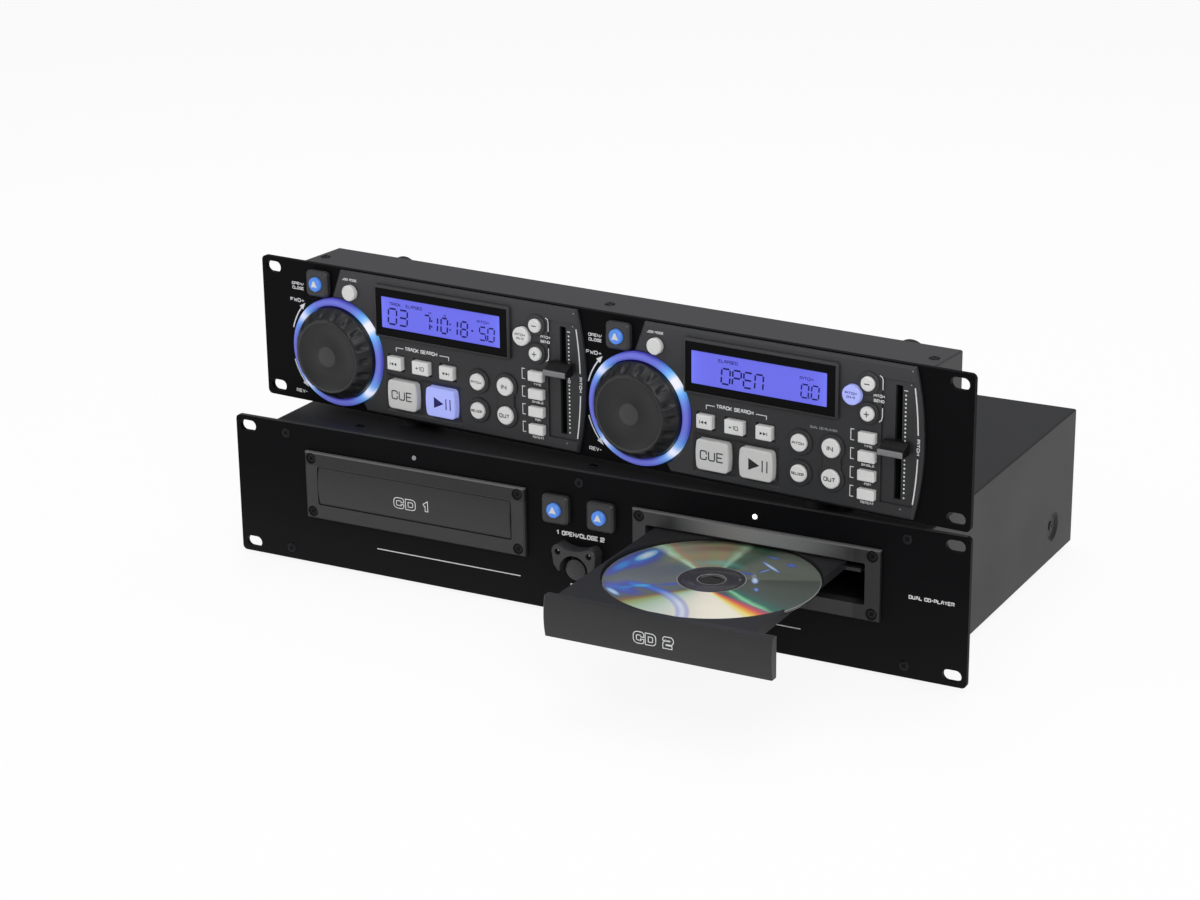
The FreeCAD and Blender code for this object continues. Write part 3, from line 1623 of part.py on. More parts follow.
def control_electronics():
    """Key board with its switches, the jog encoders with their shafts, the faders' bodies and the sockets."""
    setback = S.board_setback
    items = []
    for deck in (1, 2):
        x, edge = deck_x(deck), key_x(deck)
        span = (x - 20, edge + 138.5)
        items.append(block(span, (setback, setback + S.board_thick), (S.case_bottom + 4, S.case_top - 4)))
        face = setback
        places = [(across, height) for _, across, height, _ in round_keys(deck)]
        places += [(edge + key[0], key[1]) for key in flat_keys()] + [eject_place(deck)]
        for across, height in places:
            side = S.switch_side
            items.append(block(around(across, side), (face - S.switch_height, face), around(height, side)))
        encoder = block(around(x, 14), (S.panel_thick, face), around(S.jog_z, 14))
        items.append(fuse(encoder, bar_y(x, S.jog_z, S.jog_bore, -S.jog_front + 5.2, S.panel_thick)))
        middle = edge + S.fader_x
        body = block(around(middle, 9), (S.panel_thick + 0.2, face), around(S.fader_z, S.fader_travel * 2 + 12))
        groove = block(
            around(middle, S.fader_slot),
            (S.panel_thick - 1, face - 1.5),
            around(S.fader_z, S.fader_travel * 2 + 5),
        )
        items.append(cut(body, groove))
    back = control_back()
    for x, z in control_sockets():
        shell = bar_y(x, z, DIN_RADIUS, back - 9, back + 2)
        items.append(cut(shell, bar_y(x, z, DIN_RADIUS - 1.2, back - 0.5, back + 3)))
    finish(group(*items), "control_electronics", "control")


def control_screws():
    items = []
    y = S.panel_thick + 17
    for x in (-S.control_width / 2 + 10, size(0), S.control_width / 2 - 10):
        items.append(bar_z(x, y, S.screw_head, S.case_top, S.case_top + S.screw_rise))
    finish(group(*items), "control_screws", "control")


# ---------------------------------------------------------------- build


def check(item):
    if "Invalid" in item.State or "Error" in item.State:
        raise RuntimeError(f"{item.Label} failed to build")


def write_pieces():
    os.makedirs("parts", exist_ok=True)
    for item in DOC.Objects:
        check(item)
    for piece in PIECES:
        if piece.Shape.isNull() or not piece.Shape.isValid() or not piece.Shape.Solids:
            raise RuntimeError(f"{piece.Label} has no sound solid")
    for piece in PIECES:
        piece.Shape.exportStep(f"parts/{piece.Label}.step")


def build():
    drive_front_panel()
    drive_base()
    drive_cover()
    drive_feet()
    rear_sockets()
    drive_electronics()
    tray_bezels()
    drive_screws()
    panel_guards()
    indicator_lights()
    drive_buttons()
    loader_mechanisms()
    trays()
    disc_two()
    control_front_panel()
    control_housing()
    control_feet()
    deck_fascias()
    displays()
    light_rings()
    jog_wheels()
    pitch_faders()
    control_eject_pads()
    for deck in (1, 2):
        deck_buttons(deck)
    control_electronics()
    control_screws()
    DOC.recompute()
    write_pieces()


build()
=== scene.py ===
"""Looks of the dual disc player: finishes, printed legends, displays, lights, jog wheels and disc."""

import json
import logging
import math
from collections.abc import Sequence
from dataclasses import dataclass
from enum import Enum
from functools import reduce
from operator import add
from typing import ClassVar

import bmesh
import bpy
from mathutils import Matrix, Vector

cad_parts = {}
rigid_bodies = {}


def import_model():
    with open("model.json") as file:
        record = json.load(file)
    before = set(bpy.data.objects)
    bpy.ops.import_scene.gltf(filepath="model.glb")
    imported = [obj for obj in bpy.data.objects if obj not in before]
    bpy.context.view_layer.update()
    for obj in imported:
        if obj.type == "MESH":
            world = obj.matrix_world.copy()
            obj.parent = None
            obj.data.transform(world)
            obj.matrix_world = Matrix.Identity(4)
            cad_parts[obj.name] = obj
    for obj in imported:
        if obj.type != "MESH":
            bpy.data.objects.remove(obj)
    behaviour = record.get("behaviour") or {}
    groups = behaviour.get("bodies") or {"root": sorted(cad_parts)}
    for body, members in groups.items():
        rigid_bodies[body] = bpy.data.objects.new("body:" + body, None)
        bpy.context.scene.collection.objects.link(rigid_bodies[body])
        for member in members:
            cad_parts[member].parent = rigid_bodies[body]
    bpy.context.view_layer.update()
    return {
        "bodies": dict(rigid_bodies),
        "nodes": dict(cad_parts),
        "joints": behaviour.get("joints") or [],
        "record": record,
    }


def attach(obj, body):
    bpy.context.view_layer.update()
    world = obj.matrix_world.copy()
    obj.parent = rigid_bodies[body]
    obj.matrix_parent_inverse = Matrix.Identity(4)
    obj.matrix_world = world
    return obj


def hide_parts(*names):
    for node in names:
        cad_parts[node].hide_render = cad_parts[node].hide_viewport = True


LOG = logging.getLogger("disc_player")

Point = tuple[float, float]
Colour = tuple[float, float, float]
Words = tuple[str, Point, Point]  # what they say, where, and the line's height and width
Stops = tuple[tuple[float, int, int, int], ...]  # share of a turn and a display colour

MM = 0.001  # metres
PRINT = 0.04  # millimetres that printing stands proud of its face
DOOR_FRONT = -4.0  # face of the shut tray's door
TRAY_TRAVEL = 38 * math.pi  # 38 teeth of the tray's rack, of module 1

RIGHTWARD = (1.0, 0.0, 0.0)
UPWARD = (0.0, 0.0, 1.0)
WHITE = (1.0, 1.0, 1.0, 1.0)


def linear(red: int, green: int, blue: int) -> Colour:
    """Turn a display colour of 0 to 255 into the linear colour that a shader takes.

    Args:
        red: Red from 0 to 255.
        green: Green from 0 to 255.
        blue: Blue from 0 to 255.

    Returns:
        The colour in linear light.
    """

    def channel(value: float) -> float:
        """Undo the display curve of one channel."""
        value /= 255
        return value / 12.92 if value <= 0.04045 else ((value + 0.055) / 1.055) ** 2.4

    return channel(red), channel(green), channel(blue)


def shade(colour: Colour, factor: float) -> Colour:
    """A colour made darker or lighter by a factor."""
    red, green, blue = colour
    return red * factor, green * factor, blue * factor


# ------------------------------------------------------------------ shaders


class Wire:
    """One output of a shader tree, which can stand in Python expressions on values."""

    def __init__(self, tree: "Tree", socket: bpy.types.NodeSocket) -> None:
        """Hold a socket and the tree that it belongs to."""
        self.tree = tree
        self.socket = socket

    def _math(self, operation: str, *values: "Wire | float", clamp: bool = False) -> "Wire":
        """Add one Math node."""
        settings = {"operation": operation, "use_clamp": clamp}
        return self.tree.node("ShaderNodeMath", settings, dict(enumerate(values)))

    def __add__(self, other: "Wire | float") -> "Wire":
        """Sum."""
        return self._math("ADD", self, other)

    __radd__ = __add__

    def __sub__(self, other: "Wire | float") -> "Wire":
        """Difference."""
        return self._math("SUBTRACT", self, other)

    def __rsub__(self, other: float) -> "Wire":
        """Difference from a number."""
        return self._math("SUBTRACT", other, self)

    def __mul__(self, other: "Wire | float") -> "Wire":
        """Product."""
        return self._math("MULTIPLY", self, other)

    __rmul__ = __mul__

    def __truediv__(self, other: "Wire | float") -> "Wire":
        """Quotient."""
        return self._math("DIVIDE", self, other)

    def __pow__(self, other: float) -> "Wire":
        """Power."""
        return self._math("POWER", self, other)

    def __abs__(self) -> "Wire":
        """Size without the sign."""
        return self._math("ABSOLUTE", self)

    def sine(self) -> "Wire":
        """Sine of the value in radians."""
        return self._math("SINE", self)

    def clamped(self) -> "Wire":
        """The value held between 0 and 1."""
        return self._math("ADD", self, 0.0, clamp=True)

    def at_least(self, low: float) -> "Wire":
        """The larger of the value and a number."""
        return self._math("MAXIMUM", self, low)

    def ramp(self, start: float, end: float) -> "Wire":
        """A share that goes from 0 at one value to 1 at another, and stops there."""
        return ((self - start) / (end - start)).clamped()

    def near(self, middle: float, reach: float) -> "Wire":
        """A share that falls evenly from 1 at a value to 0 at a reach from it."""
        return (1.0 - abs(self - middle) / reach).clamped()

    def mound(self, middle: float, reach: float) -> "Wire":
        """A share that falls from 1 at a value to 0 at a reach from it, as a round mound."""
        return (1.0 - ((self - middle) / reach) ** 2.0).at_least(0.0)

    def blend(self, low: "Wire | Colour", high: "Wire | Colour") -> "Wire":
        """Mix two colours by this value.

        Args:
            low: Colour where the value is 0.
            high: Colour where it is 1.

        Returns:
            The mixed colour.
        """
        settings = {"data_type": "RGBA", "clamp_factor": True}
        inputs = {"Factor": self, 6: _rgba(low), 7: _rgba(high)}
        return self.tree.node("ShaderNodeMix", settings, inputs, output=2)


def _rgba(value: "Wire | Colour") -> "Wire | tuple[float, ...]":
    """Give a plain colour its alpha."""
    return value if isinstance(value, Wire) else (*value, 1.0)


class Tree:
    """A node tree in the making."""

    def __init__(self, tree: bpy.types.NodeTree) -> None:
        """Hold the tree."""
        self.tree = tree

    def node(
        self,
        kind: str,
        settings: dict[str, object] | None = None,
        inputs: "dict[str | int, object] | None" = None,
        output: str | int = 0,
    ) -> Wire:
        """Add any node.

        Args:
            kind: The node's type.
            settings: Its properties, or the stops of a ramp under the name stops.
            inputs: Links or values for its sockets, by name or number.
            output: Name or number of the output that is returned.

        Returns:
            The chosen output.
        """
        made = self.tree.nodes.new(kind)
        for name, value in (settings or {}).items():
            if name == "stops":
                ramp = made.color_ramp.elements
                for index, (position, colour) in enumerate(value):
                    stop = ramp[index] if index < 2 else ramp.new(position)
                    stop.position, stop.color = position, (*colour, 1.0)
            else:
                setattr(made, name, value)
        for name, value in (inputs or {}).items():
            if isinstance(value, Wire):
                self.tree.links.new(value.socket, made.inputs[name])
            else:
                made.inputs[name].default_value = value
        return Wire(self, made.outputs[output])

    def show(self, wire: Wire, output: str) -> None:
        """Link a surface to the tree's output node."""
        self.tree.links.new(wire.socket, self.tree.nodes[output].inputs["Surface"])


class Shader(Tree):
    """A material's node tree round one Principled shader."""

    def __init__(self, name: str) -> None:
        """Make the material with its shader node.

        Args:
            name: The material's name.
        """
        self.material = bpy.data.materials.new(name)
        self.material.use_nodes = True
        super().__init__(self.material.node_tree)
        self.body = self.tree.nodes["Principled BSDF"]

    def place(self) -> Wire:
        """The point on the piece, in the piece's own coordinates."""
        return self.node("ShaderNodeTexCoord", output="Object")

    def vector(self, operation: str, *values: "Wire | Sequence[float]", output: int = 0) -> Wire:
        """Add one Vector Math node."""
        return self.node("ShaderNodeVectorMath", {"operation": operation}, dict(enumerate(values)), output)

    def stops(self, rows: Stops, share: Wire) -> Wire:
        """Colour ramp of positions and display colours."""
        ramp = [(position, linear(*rgb)) for position, *rgb in rows]
        return self.node("ShaderNodeValToRGB", {"stops": ramp}, {0: share})

    def along(self, vector: Wire, way: Sequence[float]) -> Wire:
        """How far a vector reaches along a direction."""
        return self.vector("DOT_PRODUCT", vector, tuple(way), output=1)

    def noise(self, place: Wire, scale: float, detail: float) -> Wire:
        """Soft noise from 0 to 1."""
        inputs = {"Vector": place, "Scale": scale, "Detail": detail, "Roughness": 0.55}
        return self.node("ShaderNodeTexNoise", None, inputs)

    def turn(self, up: Wire, right: Wire) -> Wire:
        """Angle of a direction as a share of a full turn, from 0 at the left round through below to 1."""
        angle = self.node("ShaderNodeMath", {"operation": "ARCTAN2"}, {0: up, 1: right})
        return angle / (2 * math.pi) + 0.5

    def feed(self, **values: "Wire | float | Sequence[float]") -> None:
        """Set the shader's sockets; an underscore stands for a space in a name.

        Args:
            values: Links or values by the name of the socket.
        """
        for name, value in values.items():
            socket = self.body.inputs[name.replace("_", " ")]
            if isinstance(value, Wire):
                self.tree.links.new(value.socket, socket)
            else:
                socket.default_value = value

    def bump(self, height: Wire, distance: float, strength: float) -> None:
        """Raise the surface by a height."""
        inputs = {"Strength": strength, "Distance": distance, "Height": height}
        self.feed(Normal=self.node("ShaderNodeBump", None, inputs, output="Normal"))


@dataclass(frozen=True)
class Finish:
    """A finish of the product; each kind says how its shader is built."""

    name: str
    colour: Colour
    rough: float
    gloss: float = 0.5

    def material(self) -> bpy.types.Material:
        """The finish's material, made once.

        Returns:
            The material.
        """
        found = bpy.data.materials.get(self.name)
        if found:
            return found
        shader = Shader(self.name)
        shader.feed(Base_Color=(*self.colour, 1.0), Roughness=self.rough, Specular_IOR_Level=self.gloss)
        self.build(shader)
        return shader.material

    def build(self, shader: Shader) -> None:
        """Add what this finish has beyond its plain colour."""

    def tone(self, shader: Shader, place: Wire, colour: Wire) -> Wire:
        """Change the colour from place to place.

        Args:
            shader: The shader in the making.
            place: The point on the piece.
            colour: The finish's plain colour.

        Returns:
            The colour at that point.
        """
        return colour


@dataclass(frozen=True)
class Coated(Finish):
    """Powder coat or paint: fine orange peel, faint mottling and a worn sheen."""

    grain: float = 1500.0
    depth: float = 0.00004
    mottle: float = 0.18

    def build(self, shader: Shader) -> None:
        """Mottle the colour and sheen and roughen the surface.

        Args:
            shader: The shader in the making.
        """
        place = shader.place()
        cloud = shader.noise(place, 18.0, 4.0)
        peel = shader.noise(place, self.grain, 2.0)
        dull, bright = shade(self.colour, 1 - self.mottle), shade(self.colour, 1 + self.mottle)
        colour = self.tone(shader, place, (cloud * 0.6 + peel * 0.4).blend(dull, bright))
        shader.feed(Base_Color=colour, Roughness=cloud * 0.12 + (self.rough - 0.06))
        shader.bump(peel, self.depth, 0.6)


@dataclass(frozen=True)
class PanelCoat(Coated):
    """Coat of the drive unit's panel: paler towards its foot, with a painted highlight along its top edge.
    """

    foot: tuple[float, float] = (0.02, -0.045)
    greying: float = 0.07
    foot_colour: Colour = (0.1, 0.1, 0.102)
    # cut and edge: the band and colour of the painted highlight along the panel's top edge
    cut: tuple[float, float] = (0.04437, 0.04442)
    edge: Colour = linear(64, 64, 64)

    def tone(self, shader: Shader, place: Wire, colour: Wire) -> Wire:
        """Make the foot paler and paint a highlight along the top edge.

        Args:
            shader: The shader in the making.
            place: The point on the piece.
            colour: The finish's plain colour.

        Returns:
            The colour at that point.
        """
        high = shader.along(place, UPWARD)
        paled = (high.ramp(*self.foot) ** 1.5 * self.greying).blend(colour, self.foot_colour)
        # painted highlight: the panel's top edge takes the paler edge colour
        return high.ramp(*self.cut).blend(paled, self.edge)


@dataclass(frozen=True)
class Moulded(Finish):
    """Moulded plastic: spark-eroded grain with slightly polished patches."""

    grain: float = 2600.0
    depth: float = 0.00003

    def build(self, shader: Shader) -> None:
        """Add the grain and its sheen.

        Args:
            shader: The shader in the making.
        """
        place = shader.place()
        inputs = {"Vector": place, "Scale": self.grain, "Smoothness": 0.6}
        grain = shader.node("ShaderNodeTexVoronoi", {"feature": "SMOOTH_F1"}, inputs)
        cloud = shader.noise(place, 30.0, 3.0)
        colour = self.tone(shader, place, cloud.blend(shade(self.colour, 0.9), shade(self.colour, 1.08)))
        shader.feed(Base_Color=colour, Roughness=cloud * 0.1 + (self.rough - 0.05))
        shader.bump(grain, self.depth, 0.5)


@dataclass(frozen=True)
class FasciaPlastic(Moulded):
    """Fascia plastic, with a painted highlight that makes it paler towards the top edge."""

    rise: tuple[float, float] = (0.108, 0.136)
    painted_light_gain: float = 1.9

    def tone(self, shader: Shader, place: Wire, colour: Wire) -> Wire:
        """Paint a highlight on the upper band."""
        level = shader.along(place, UPWARD).ramp(*self.rise)
        # painted highlight towards the fascia's top edge
        return (level * 0.8).blend(colour, shade(self.colour, self.painted_light_gain))


@dataclass(frozen=True)
class BezelPlastic(Moulded):
    """Bezel plastic, with a painted highlight along its upper bevel, a painted reflection over the middle
    of the right bezel's top band, and painted shade on the left bezel's band and on the right side.
    """

    top_bevel: float = 0.02805
    top_band: float = 0.0205
    left_bezel: float = -0.03
    right_side: float = 0.1735
    # middle and reach across the unit of the painted reflection on the right bezel's top band
    reflection_span: tuple[float, float] = (0.116, 0.055)
    # rim: colour of the painted highlight along the upper bevel; the next colour is the painted reflection
    # on the top band
    rim: Colour = (0.13, 0.13, 0.13)
    band_reflection: Colour = (0.3, 0.3, 0.3)

    def tone(self, shader: Shader, place: Wire, colour: Wire) -> Wire:
        """Paint shade on the left bezel's band and the right side, then paint the reflection on the band
        and the highlight on the bevel.

        Args:
            shader: The shader in the making.
            place: The point on the piece.
            colour: The finish's plain colour.

        Returns:
            The colour at that point.
        """
        across, high = shader.along(place, RIGHTWARD), shader.along(place, UPWARD)
        on_band = high.ramp(self.top_band, self.top_band + 0.00025)
        left_band_shade = across.ramp(self.left_bezel, self.left_bezel - 0.0025) * on_band
        right_side_shade = across.ramp(self.right_side, self.right_side + 0.001)
        # painted shade on the left bezel's top band and a painted dark reflection on the right side
        toned = (left_band_shade * 0.6).blend(colour, shade(self.colour, 0.25))
        toned = (right_side_shade * 0.5).blend(toned, shade(self.colour, 0.2))
        # painted reflection over the middle of the right bezel's top band
        toned = (on_band * across.mound(*self.reflection_span) * 0.8).blend(toned, self.band_reflection)
        # painted highlight along the upper bevel
        return high.ramp(self.top_bevel, self.top_bevel + 0.00017).blend(toned, self.rim)


@dataclass(frozen=True)
class BarHighlightPlastic(Moulded):
    """Plastic whose front bar, beyond a depth before the control panel, carries a painted highlight in a
    paler tone.
    """

    bar: Colour = linear(122, 122, 124)
    depth_axis: tuple[float, float, float] = (0.07783, 0.99697, 0.0)
    panel: float = 0.009914
    reach: float = 0.0115

    def tone(self, shader: Shader, place: Wire, colour: Wire) -> Wire:
        """Paint the highlight on the bar where the piece stands furthest forward."""
        ahead = self.panel - shader.along(place, self.depth_axis)
        # painted highlight on the front bar, where it catches the light
        return ahead.ramp(self.reach, self.reach + 0.000125).blend(colour, self.bar)


@dataclass(frozen=True)
class Rubber(Finish):
    """Matt rubber with a dusty bloom."""

    def build(self, shader: Shader) -> None:
        """Add the bloom.

        Args:
            shader: The shader in the making.
        """
        bloom = shader.noise(shader.place(), 240.0, 5.0)
        colour = (bloom**2.0).blend(self.colour, shade(self.colour, 2.2))
        shader.feed(Base_Color=colour, Roughness=bloom * 0.2 + 0.7)
        shader.bump(bloom, 0.0001, 0.4)


@dataclass(frozen=True)
class Ink(Finish):
    """Screen-printed ink, a little uneven."""

    def build(self, shader: Shader) -> None:
        """Thin the ink here and there."""
        patch = shader.noise(shader.place(), 0.9, 3.0)
        shader.feed(Base_Color=patch.blend(shade(self.colour, 0.86), self.colour))


@dataclass(frozen=True)
class Steel(Finish):
    """Turned steel of a fastener, with fine machining marks."""

    def build(self, shader: Shader) -> None:
        """Add the marks.

        Args:
            shader: The shader in the making.
        """
        marks = shader.noise(shader.place(), 2200.0, 4.0)
        shader.feed(Metallic=1.0, Roughness=marks * 0.2 + (self.rough - 0.1))
        shader.bump(marks, 0.00002, 0.3)


@dataclass(frozen=True)
class Lit(Finish):
    """Translucent part lit from behind; its light is uneven, as from lamps."""

    strength: float = 0.6
    edge: Colour = (0.1, 0.1, 0.5)

    def build(self, shader: Shader) -> None:
        """Light the part unevenly, as lamps behind it do."""
        cloud = shader.noise(shader.place(), 60.0, 2.0)
        shader.feed(Emission_Color=cloud.blend(self.edge, self.colour), Emission_Strength=self.strength)


@dataclass(frozen=True)
class RingGlow(Finish):
    """Light pipe round a jog wheel, about the piece's own Y; a lamp is an angle and a power."""

    lamps: tuple[tuple[float, float], ...] = ((38.0, 1.5), (140.0, 0.75), (-42.0, 0.9), (-134.0, 0.6))
    strength: float = 0.8
    hot: Colour = (1.0, 1.0, 1.0)
    halo: Colour = linear(92, 190, 246)
    deep: Colour = linear(52, 42, 150)
    middle: float = 31.6
    half: float = 2.2

    def build(self, shader: Shader) -> None:
        """Sum the glow of the lamps round the ring.

        Args:
            shader: The shader in the making.
        """
        flat = shader.vector("MULTIPLY", shader.place(), (1.0, 0.0, 1.0))
        towards = shader.vector("NORMALIZE", flat)
        lit: list[tuple[Wire, float]] = []
        for angle, power in self.lamps:
            way = (math.cos(math.radians(angle)), 0.0, math.sin(math.radians(angle)))
            lit.append((shader.along(towards, way).at_least(0.0), power))
        core = reduce(add, [near**150.0 * power for near, power in lit])
        halo = reduce(add, [near**22.0 * power for near, power in lit])
        reach = shader.vector("LENGTH", flat, output=1)
        across = ((reach - self.middle) / self.half) ** 4.0
        body = across.clamped().blend(self.colour, self.deep)
        glow = (halo * 0.9).clamped().blend(body, self.halo)
        shader.feed(Emission_Color=core.clamped().blend(glow, self.hot), Emission_Strength=self.strength)


@dataclass(frozen=True)
class WindowGlow(Finish):
    """Back-lit display window: even violet light, paler at its ends; drawn about its centre."""

    width: float = 86.0
    strength: float = 0.86
    pale: Colour = linear(104, 112, 214)

    def build(self, shader: Shader) -> None:
        """Grade the light over the window.

        Args:
            shader: The shader in the making.
        """
        place = shader.place()
        side = abs(shader.along(place, RIGHTWARD) / (self.width / 2))
        cloud = shader.noise(shader.vector("MULTIPLY", place, (0.05, 0.0, 0.12)), 1.4, 2.0)
        near = ((side**10.0) * 0.8 + cloud * 0.12).clamped()
        shader.feed(Emission_Color=near.blend(self.colour, self.pale), Emission_Strength=self.strength)


@dataclass(frozen=True)
class Grooved(Finish):
    """Turned plastic face with fine concentric grooves about the piece's own Y axis; painted light and
    shade make the crests paler and the troughs darker.
    """

    pitch: float = 1.6

    def build(self, shader: Shader) -> None:
        """Cut the grooves as a fine wave by radius, with painted light and shade along them.

        Args:
            shader: The shader in the making.
        """
        place = shader.place()
        reach = shader.vector("LENGTH", shader.vector("MULTIPLY", place, (1.0, 0.0, 1.0)), output=1)
        wave = (reach * (2 * math.pi / self.pitch)).sine() * 0.5 + 0.5
        grain = shader.noise(place, 2.2, 3.0)
        # painted light and shade along the grooves, with random grain tone
        groove_shade_and_grain = (wave**3.0) * 0.7 + grain * 0.3
        colour = groove_shade_and_grain.blend(shade(self.colour, 0.86), shade(self.colour, 1.28))
        shader.feed(Base_Color=colour, Roughness=grain * 0.1 + self.rough)
        shader.bump(wave * 0.6 + grain * 0.2, 0.0001, 0.35)


@dataclass(frozen=True)
class Glint:
    """Soft patch of reflected light on the disc, in millimetres along the bright axis and across it."""

    along: float
    across: float
    turn: float
    length: float
    width: float
    power: float


@dataclass(frozen=True)
class Arch:
    """Arc of painted reflected colour over the disc's hub: where it lies by radius, across the axis and
    along it.
    """

    radius: float
    width: float
    rise: tuple[float, float]
    middle: float
    reach: float
    share: float
    colour: Colour


@dataclass(frozen=True)
class DiscData(Finish):
    """Recorded zone of a disc: bright metal under clear plastic, with painted reflections: the colours
    that its tracks throw, a bright fan, a bow and glints.

    The fans and glints are laid out about two axes in the disc's plane, the bright axis and the one
    across it. A stop is a share of a full turn and a display colour.
    """

    axis: float = 28.6
    fan_centre: Point = (-4.8, -11.6)
    fan_span: tuple[float, float] = (0.035, 0.372)
    fan: Stops = (
        (0.0, 96, 104, 112),
        (0.042, 108, 100, 98),
        (0.058, 150, 120, 84),
        (0.070, 156, 172, 108),
        (0.095, 178, 200, 172),
        (0.135, 206, 218, 204),
        (0.190, 234, 230, 216),
        (0.250, 250, 240, 222),
        (0.310, 252, 246, 228),
        (0.328, 250, 228, 128),
        (0.340, 248, 170, 66),
        (0.350, 234, 96, 92),
        (0.362, 176, 96, 128),
        (0.376, 92, 100, 104),
    )
    wheel: Stops = (
        (0.0, 112, 118, 116),
        (0.20, 90, 96, 96),
        (0.300, 84, 100, 98),
        (0.318, 96, 150, 130),
        (0.329, 150, 222, 172),
        (0.343, 64, 118, 108),
        (0.372, 90, 100, 96),
        (0.440, 92, 98, 92),
        (0.484, 84, 90, 84),
        (0.492, 110, 116, 106),
        (0.610, 104, 110, 100),
        (0.640, 60, 88, 72),
        (0.668, 70, 100, 78),
        (0.682, 176, 206, 176),
        (0.700, 138, 150, 112),
        (0.715, 168, 142, 116),
        (0.735, 146, 156, 112),
        (0.760, 158, 138, 116),
        (0.790, 150, 154, 130),
        (0.808, 186, 150, 128),
        (0.818, 172, 214, 168),
        (0.826, 206, 232, 206),
        (0.840, 112, 132, 120),
        (0.870, 100, 112, 124),
        (0.930, 108, 112, 118),
        (1.0, 112, 118, 116),
    )
    arches: tuple[Arch, ...] = (
        Arch(36.0, 7.0, (14.0, 24.0), -8.0, 26.0, 0.6, linear(178, 152, 110)),
        Arch(25.0, 6.0, (6.0, 16.0), 6.0, 16.0, 0.75, linear(120, 196, 190)),
        Arch(47.0, 6.0, (30.0, 38.0), 6.0, 26.0, 0.8, linear(134, 84, 84)),
    )
    glints: tuple[Glint, ...] = (
        Glint(-38.0, 32.5, 50.0, 23.0, 10.0, 0.85),
        Glint(-34.5, 38.0, 52.0, 11.0, 4.2, 1.9),
        Glint(-52.0, 18.0, 62.0, 15.0, 5.0, 0.7),
        Glint(-50.0, -11.0, -42.0, 17.0, 7.0, 0.75),
        Glint(-54.0, -16.0, -60.0, 8.0, 2.2, 1.7),
        Glint(-40.0, -8.0, 10.0, 12.0, 2.6, 0.6),
        Glint(-22.0, -6.0, 8.0, 9.0, 2.4, 0.7),
        Glint(33.6, 17.0, -65.0, 11.5, 1.5, 1.8),
        Glint(30.0, 11.5, 37.0, 6.0, 1.2, 1.2),
        Glint(36.0, 31.0, -34.0, 5.0, 1.6, 1.0),
        Glint(45.0, 19.0, -50.0, 4.5, 2.6, 0.9),
        Glint(23.5, -3.0, 90.0, 5.0, 2.3, 2.0),
        Glint(23.5, -16.0, 90.0, 3.2, 1.7, 1.2),
        Glint(19.5, 8.0, -30.0, 6.0, 1.8, 0.8),
    )
    bow_centre: Point = (-62.0, -45.0)
    bow_radius: float = 44.5
    bow_width: float = 4.2
    gain: Colour = (1.3, 1.32, 1.3)

    def build(self, shader: Shader) -> None:
        """Lay the painted reflections over each other: the fans, the bow and the glints.

        Args:
            shader: The shader in the making.
        """
        place = shader.place()
        angle = math.radians(self.axis)
        u = shader.along(place, (math.cos(angle), math.sin(angle), 0.0))
        v = shader.along(place, (-math.sin(angle), math.cos(angle), 0.0))
        # painted reflections: the fans, arcs, bow and glints stand in for light that the disc throws back
        colour = self._fans(shader, place, u, v)
        colour = shader.vector("MULTIPLY", self._arch(colour, u, v), self.gain)
        halo, core = self._glow(u, v)
        greying = shader.noise(place, 3.0, 2.0)
        colour = (greying * 0.22).blend(colour, linear(96, 98, 96))
        colour = halo.clamped().blend(colour, linear(78, 84, 218))
        colour = ((halo - 0.55) * 1.2).clamped().blend(colour, linear(96, 190, 240))
        colour = core.clamped().blend(colour, (0.93, 0.96, 1.0))
        shader.feed(Base_Color=colour, Metallic=0.25, Roughness=0.3, Coat_Weight=0.35, Coat_Roughness=0.06)

    def _fans(self, shader: Shader, place: Wire, u: Wire, v: Wire) -> Wire:
        """Lay the painted bright fan over the painted wheel of reflected colours.

        Args:
            shader: The shader in the making.
            place: The point on the disc.
            u: Place along the bright axis.
            v: Place across it.

        Returns:
            The colour of both.
        """
        ripple = shader.noise(shader.vector("MULTIPLY", place, (0.05, 0.05, 0.0)), 2.0, 3.0)
        centre_u, centre_v = self.fan_centre
        share = shader.turn(v - centre_v, u - centre_u)
        wheel = shader.stops(self.wheel, shader.turn(v, u) + (ripple - 0.5) * 0.015)
        fan = shader.stops(self.fan, share)
        start, end = self.fan_span
        inside = share.ramp(end, end - 1 / 120) * share.ramp(start, start + 1 / 60)
        return inside.blend(wheel, fan)

    def _arch(self, colour: Wire, u: Wire, v: Wire) -> Wire:
        """Paint arcs of reflected colour over the hub and a dark reflection on the far rim.

        Args:
            colour: The colour under the arcs.
            u: Place along the bright axis.
            v: Place across it.

        Returns:
            The colour with the arcs.
        """
        reach = (u**2.0 + v**2.0) ** 0.5
        for arch in self.arches:
            mask = reach.near(arch.radius, arch.width) * v.ramp(*arch.rise)
            mask = mask * u.near(arch.middle, arch.reach)
            colour = (mask * arch.share).blend(colour, arch.colour)
        # painted dark reflection on the far rim
        dark = reach.ramp(52.0, 57.0) * (v / reach).ramp(0.62, 0.87) * u.near(2.0, 34.0)
        return (dark * 0.9).blend(colour, linear(30, 44, 35))

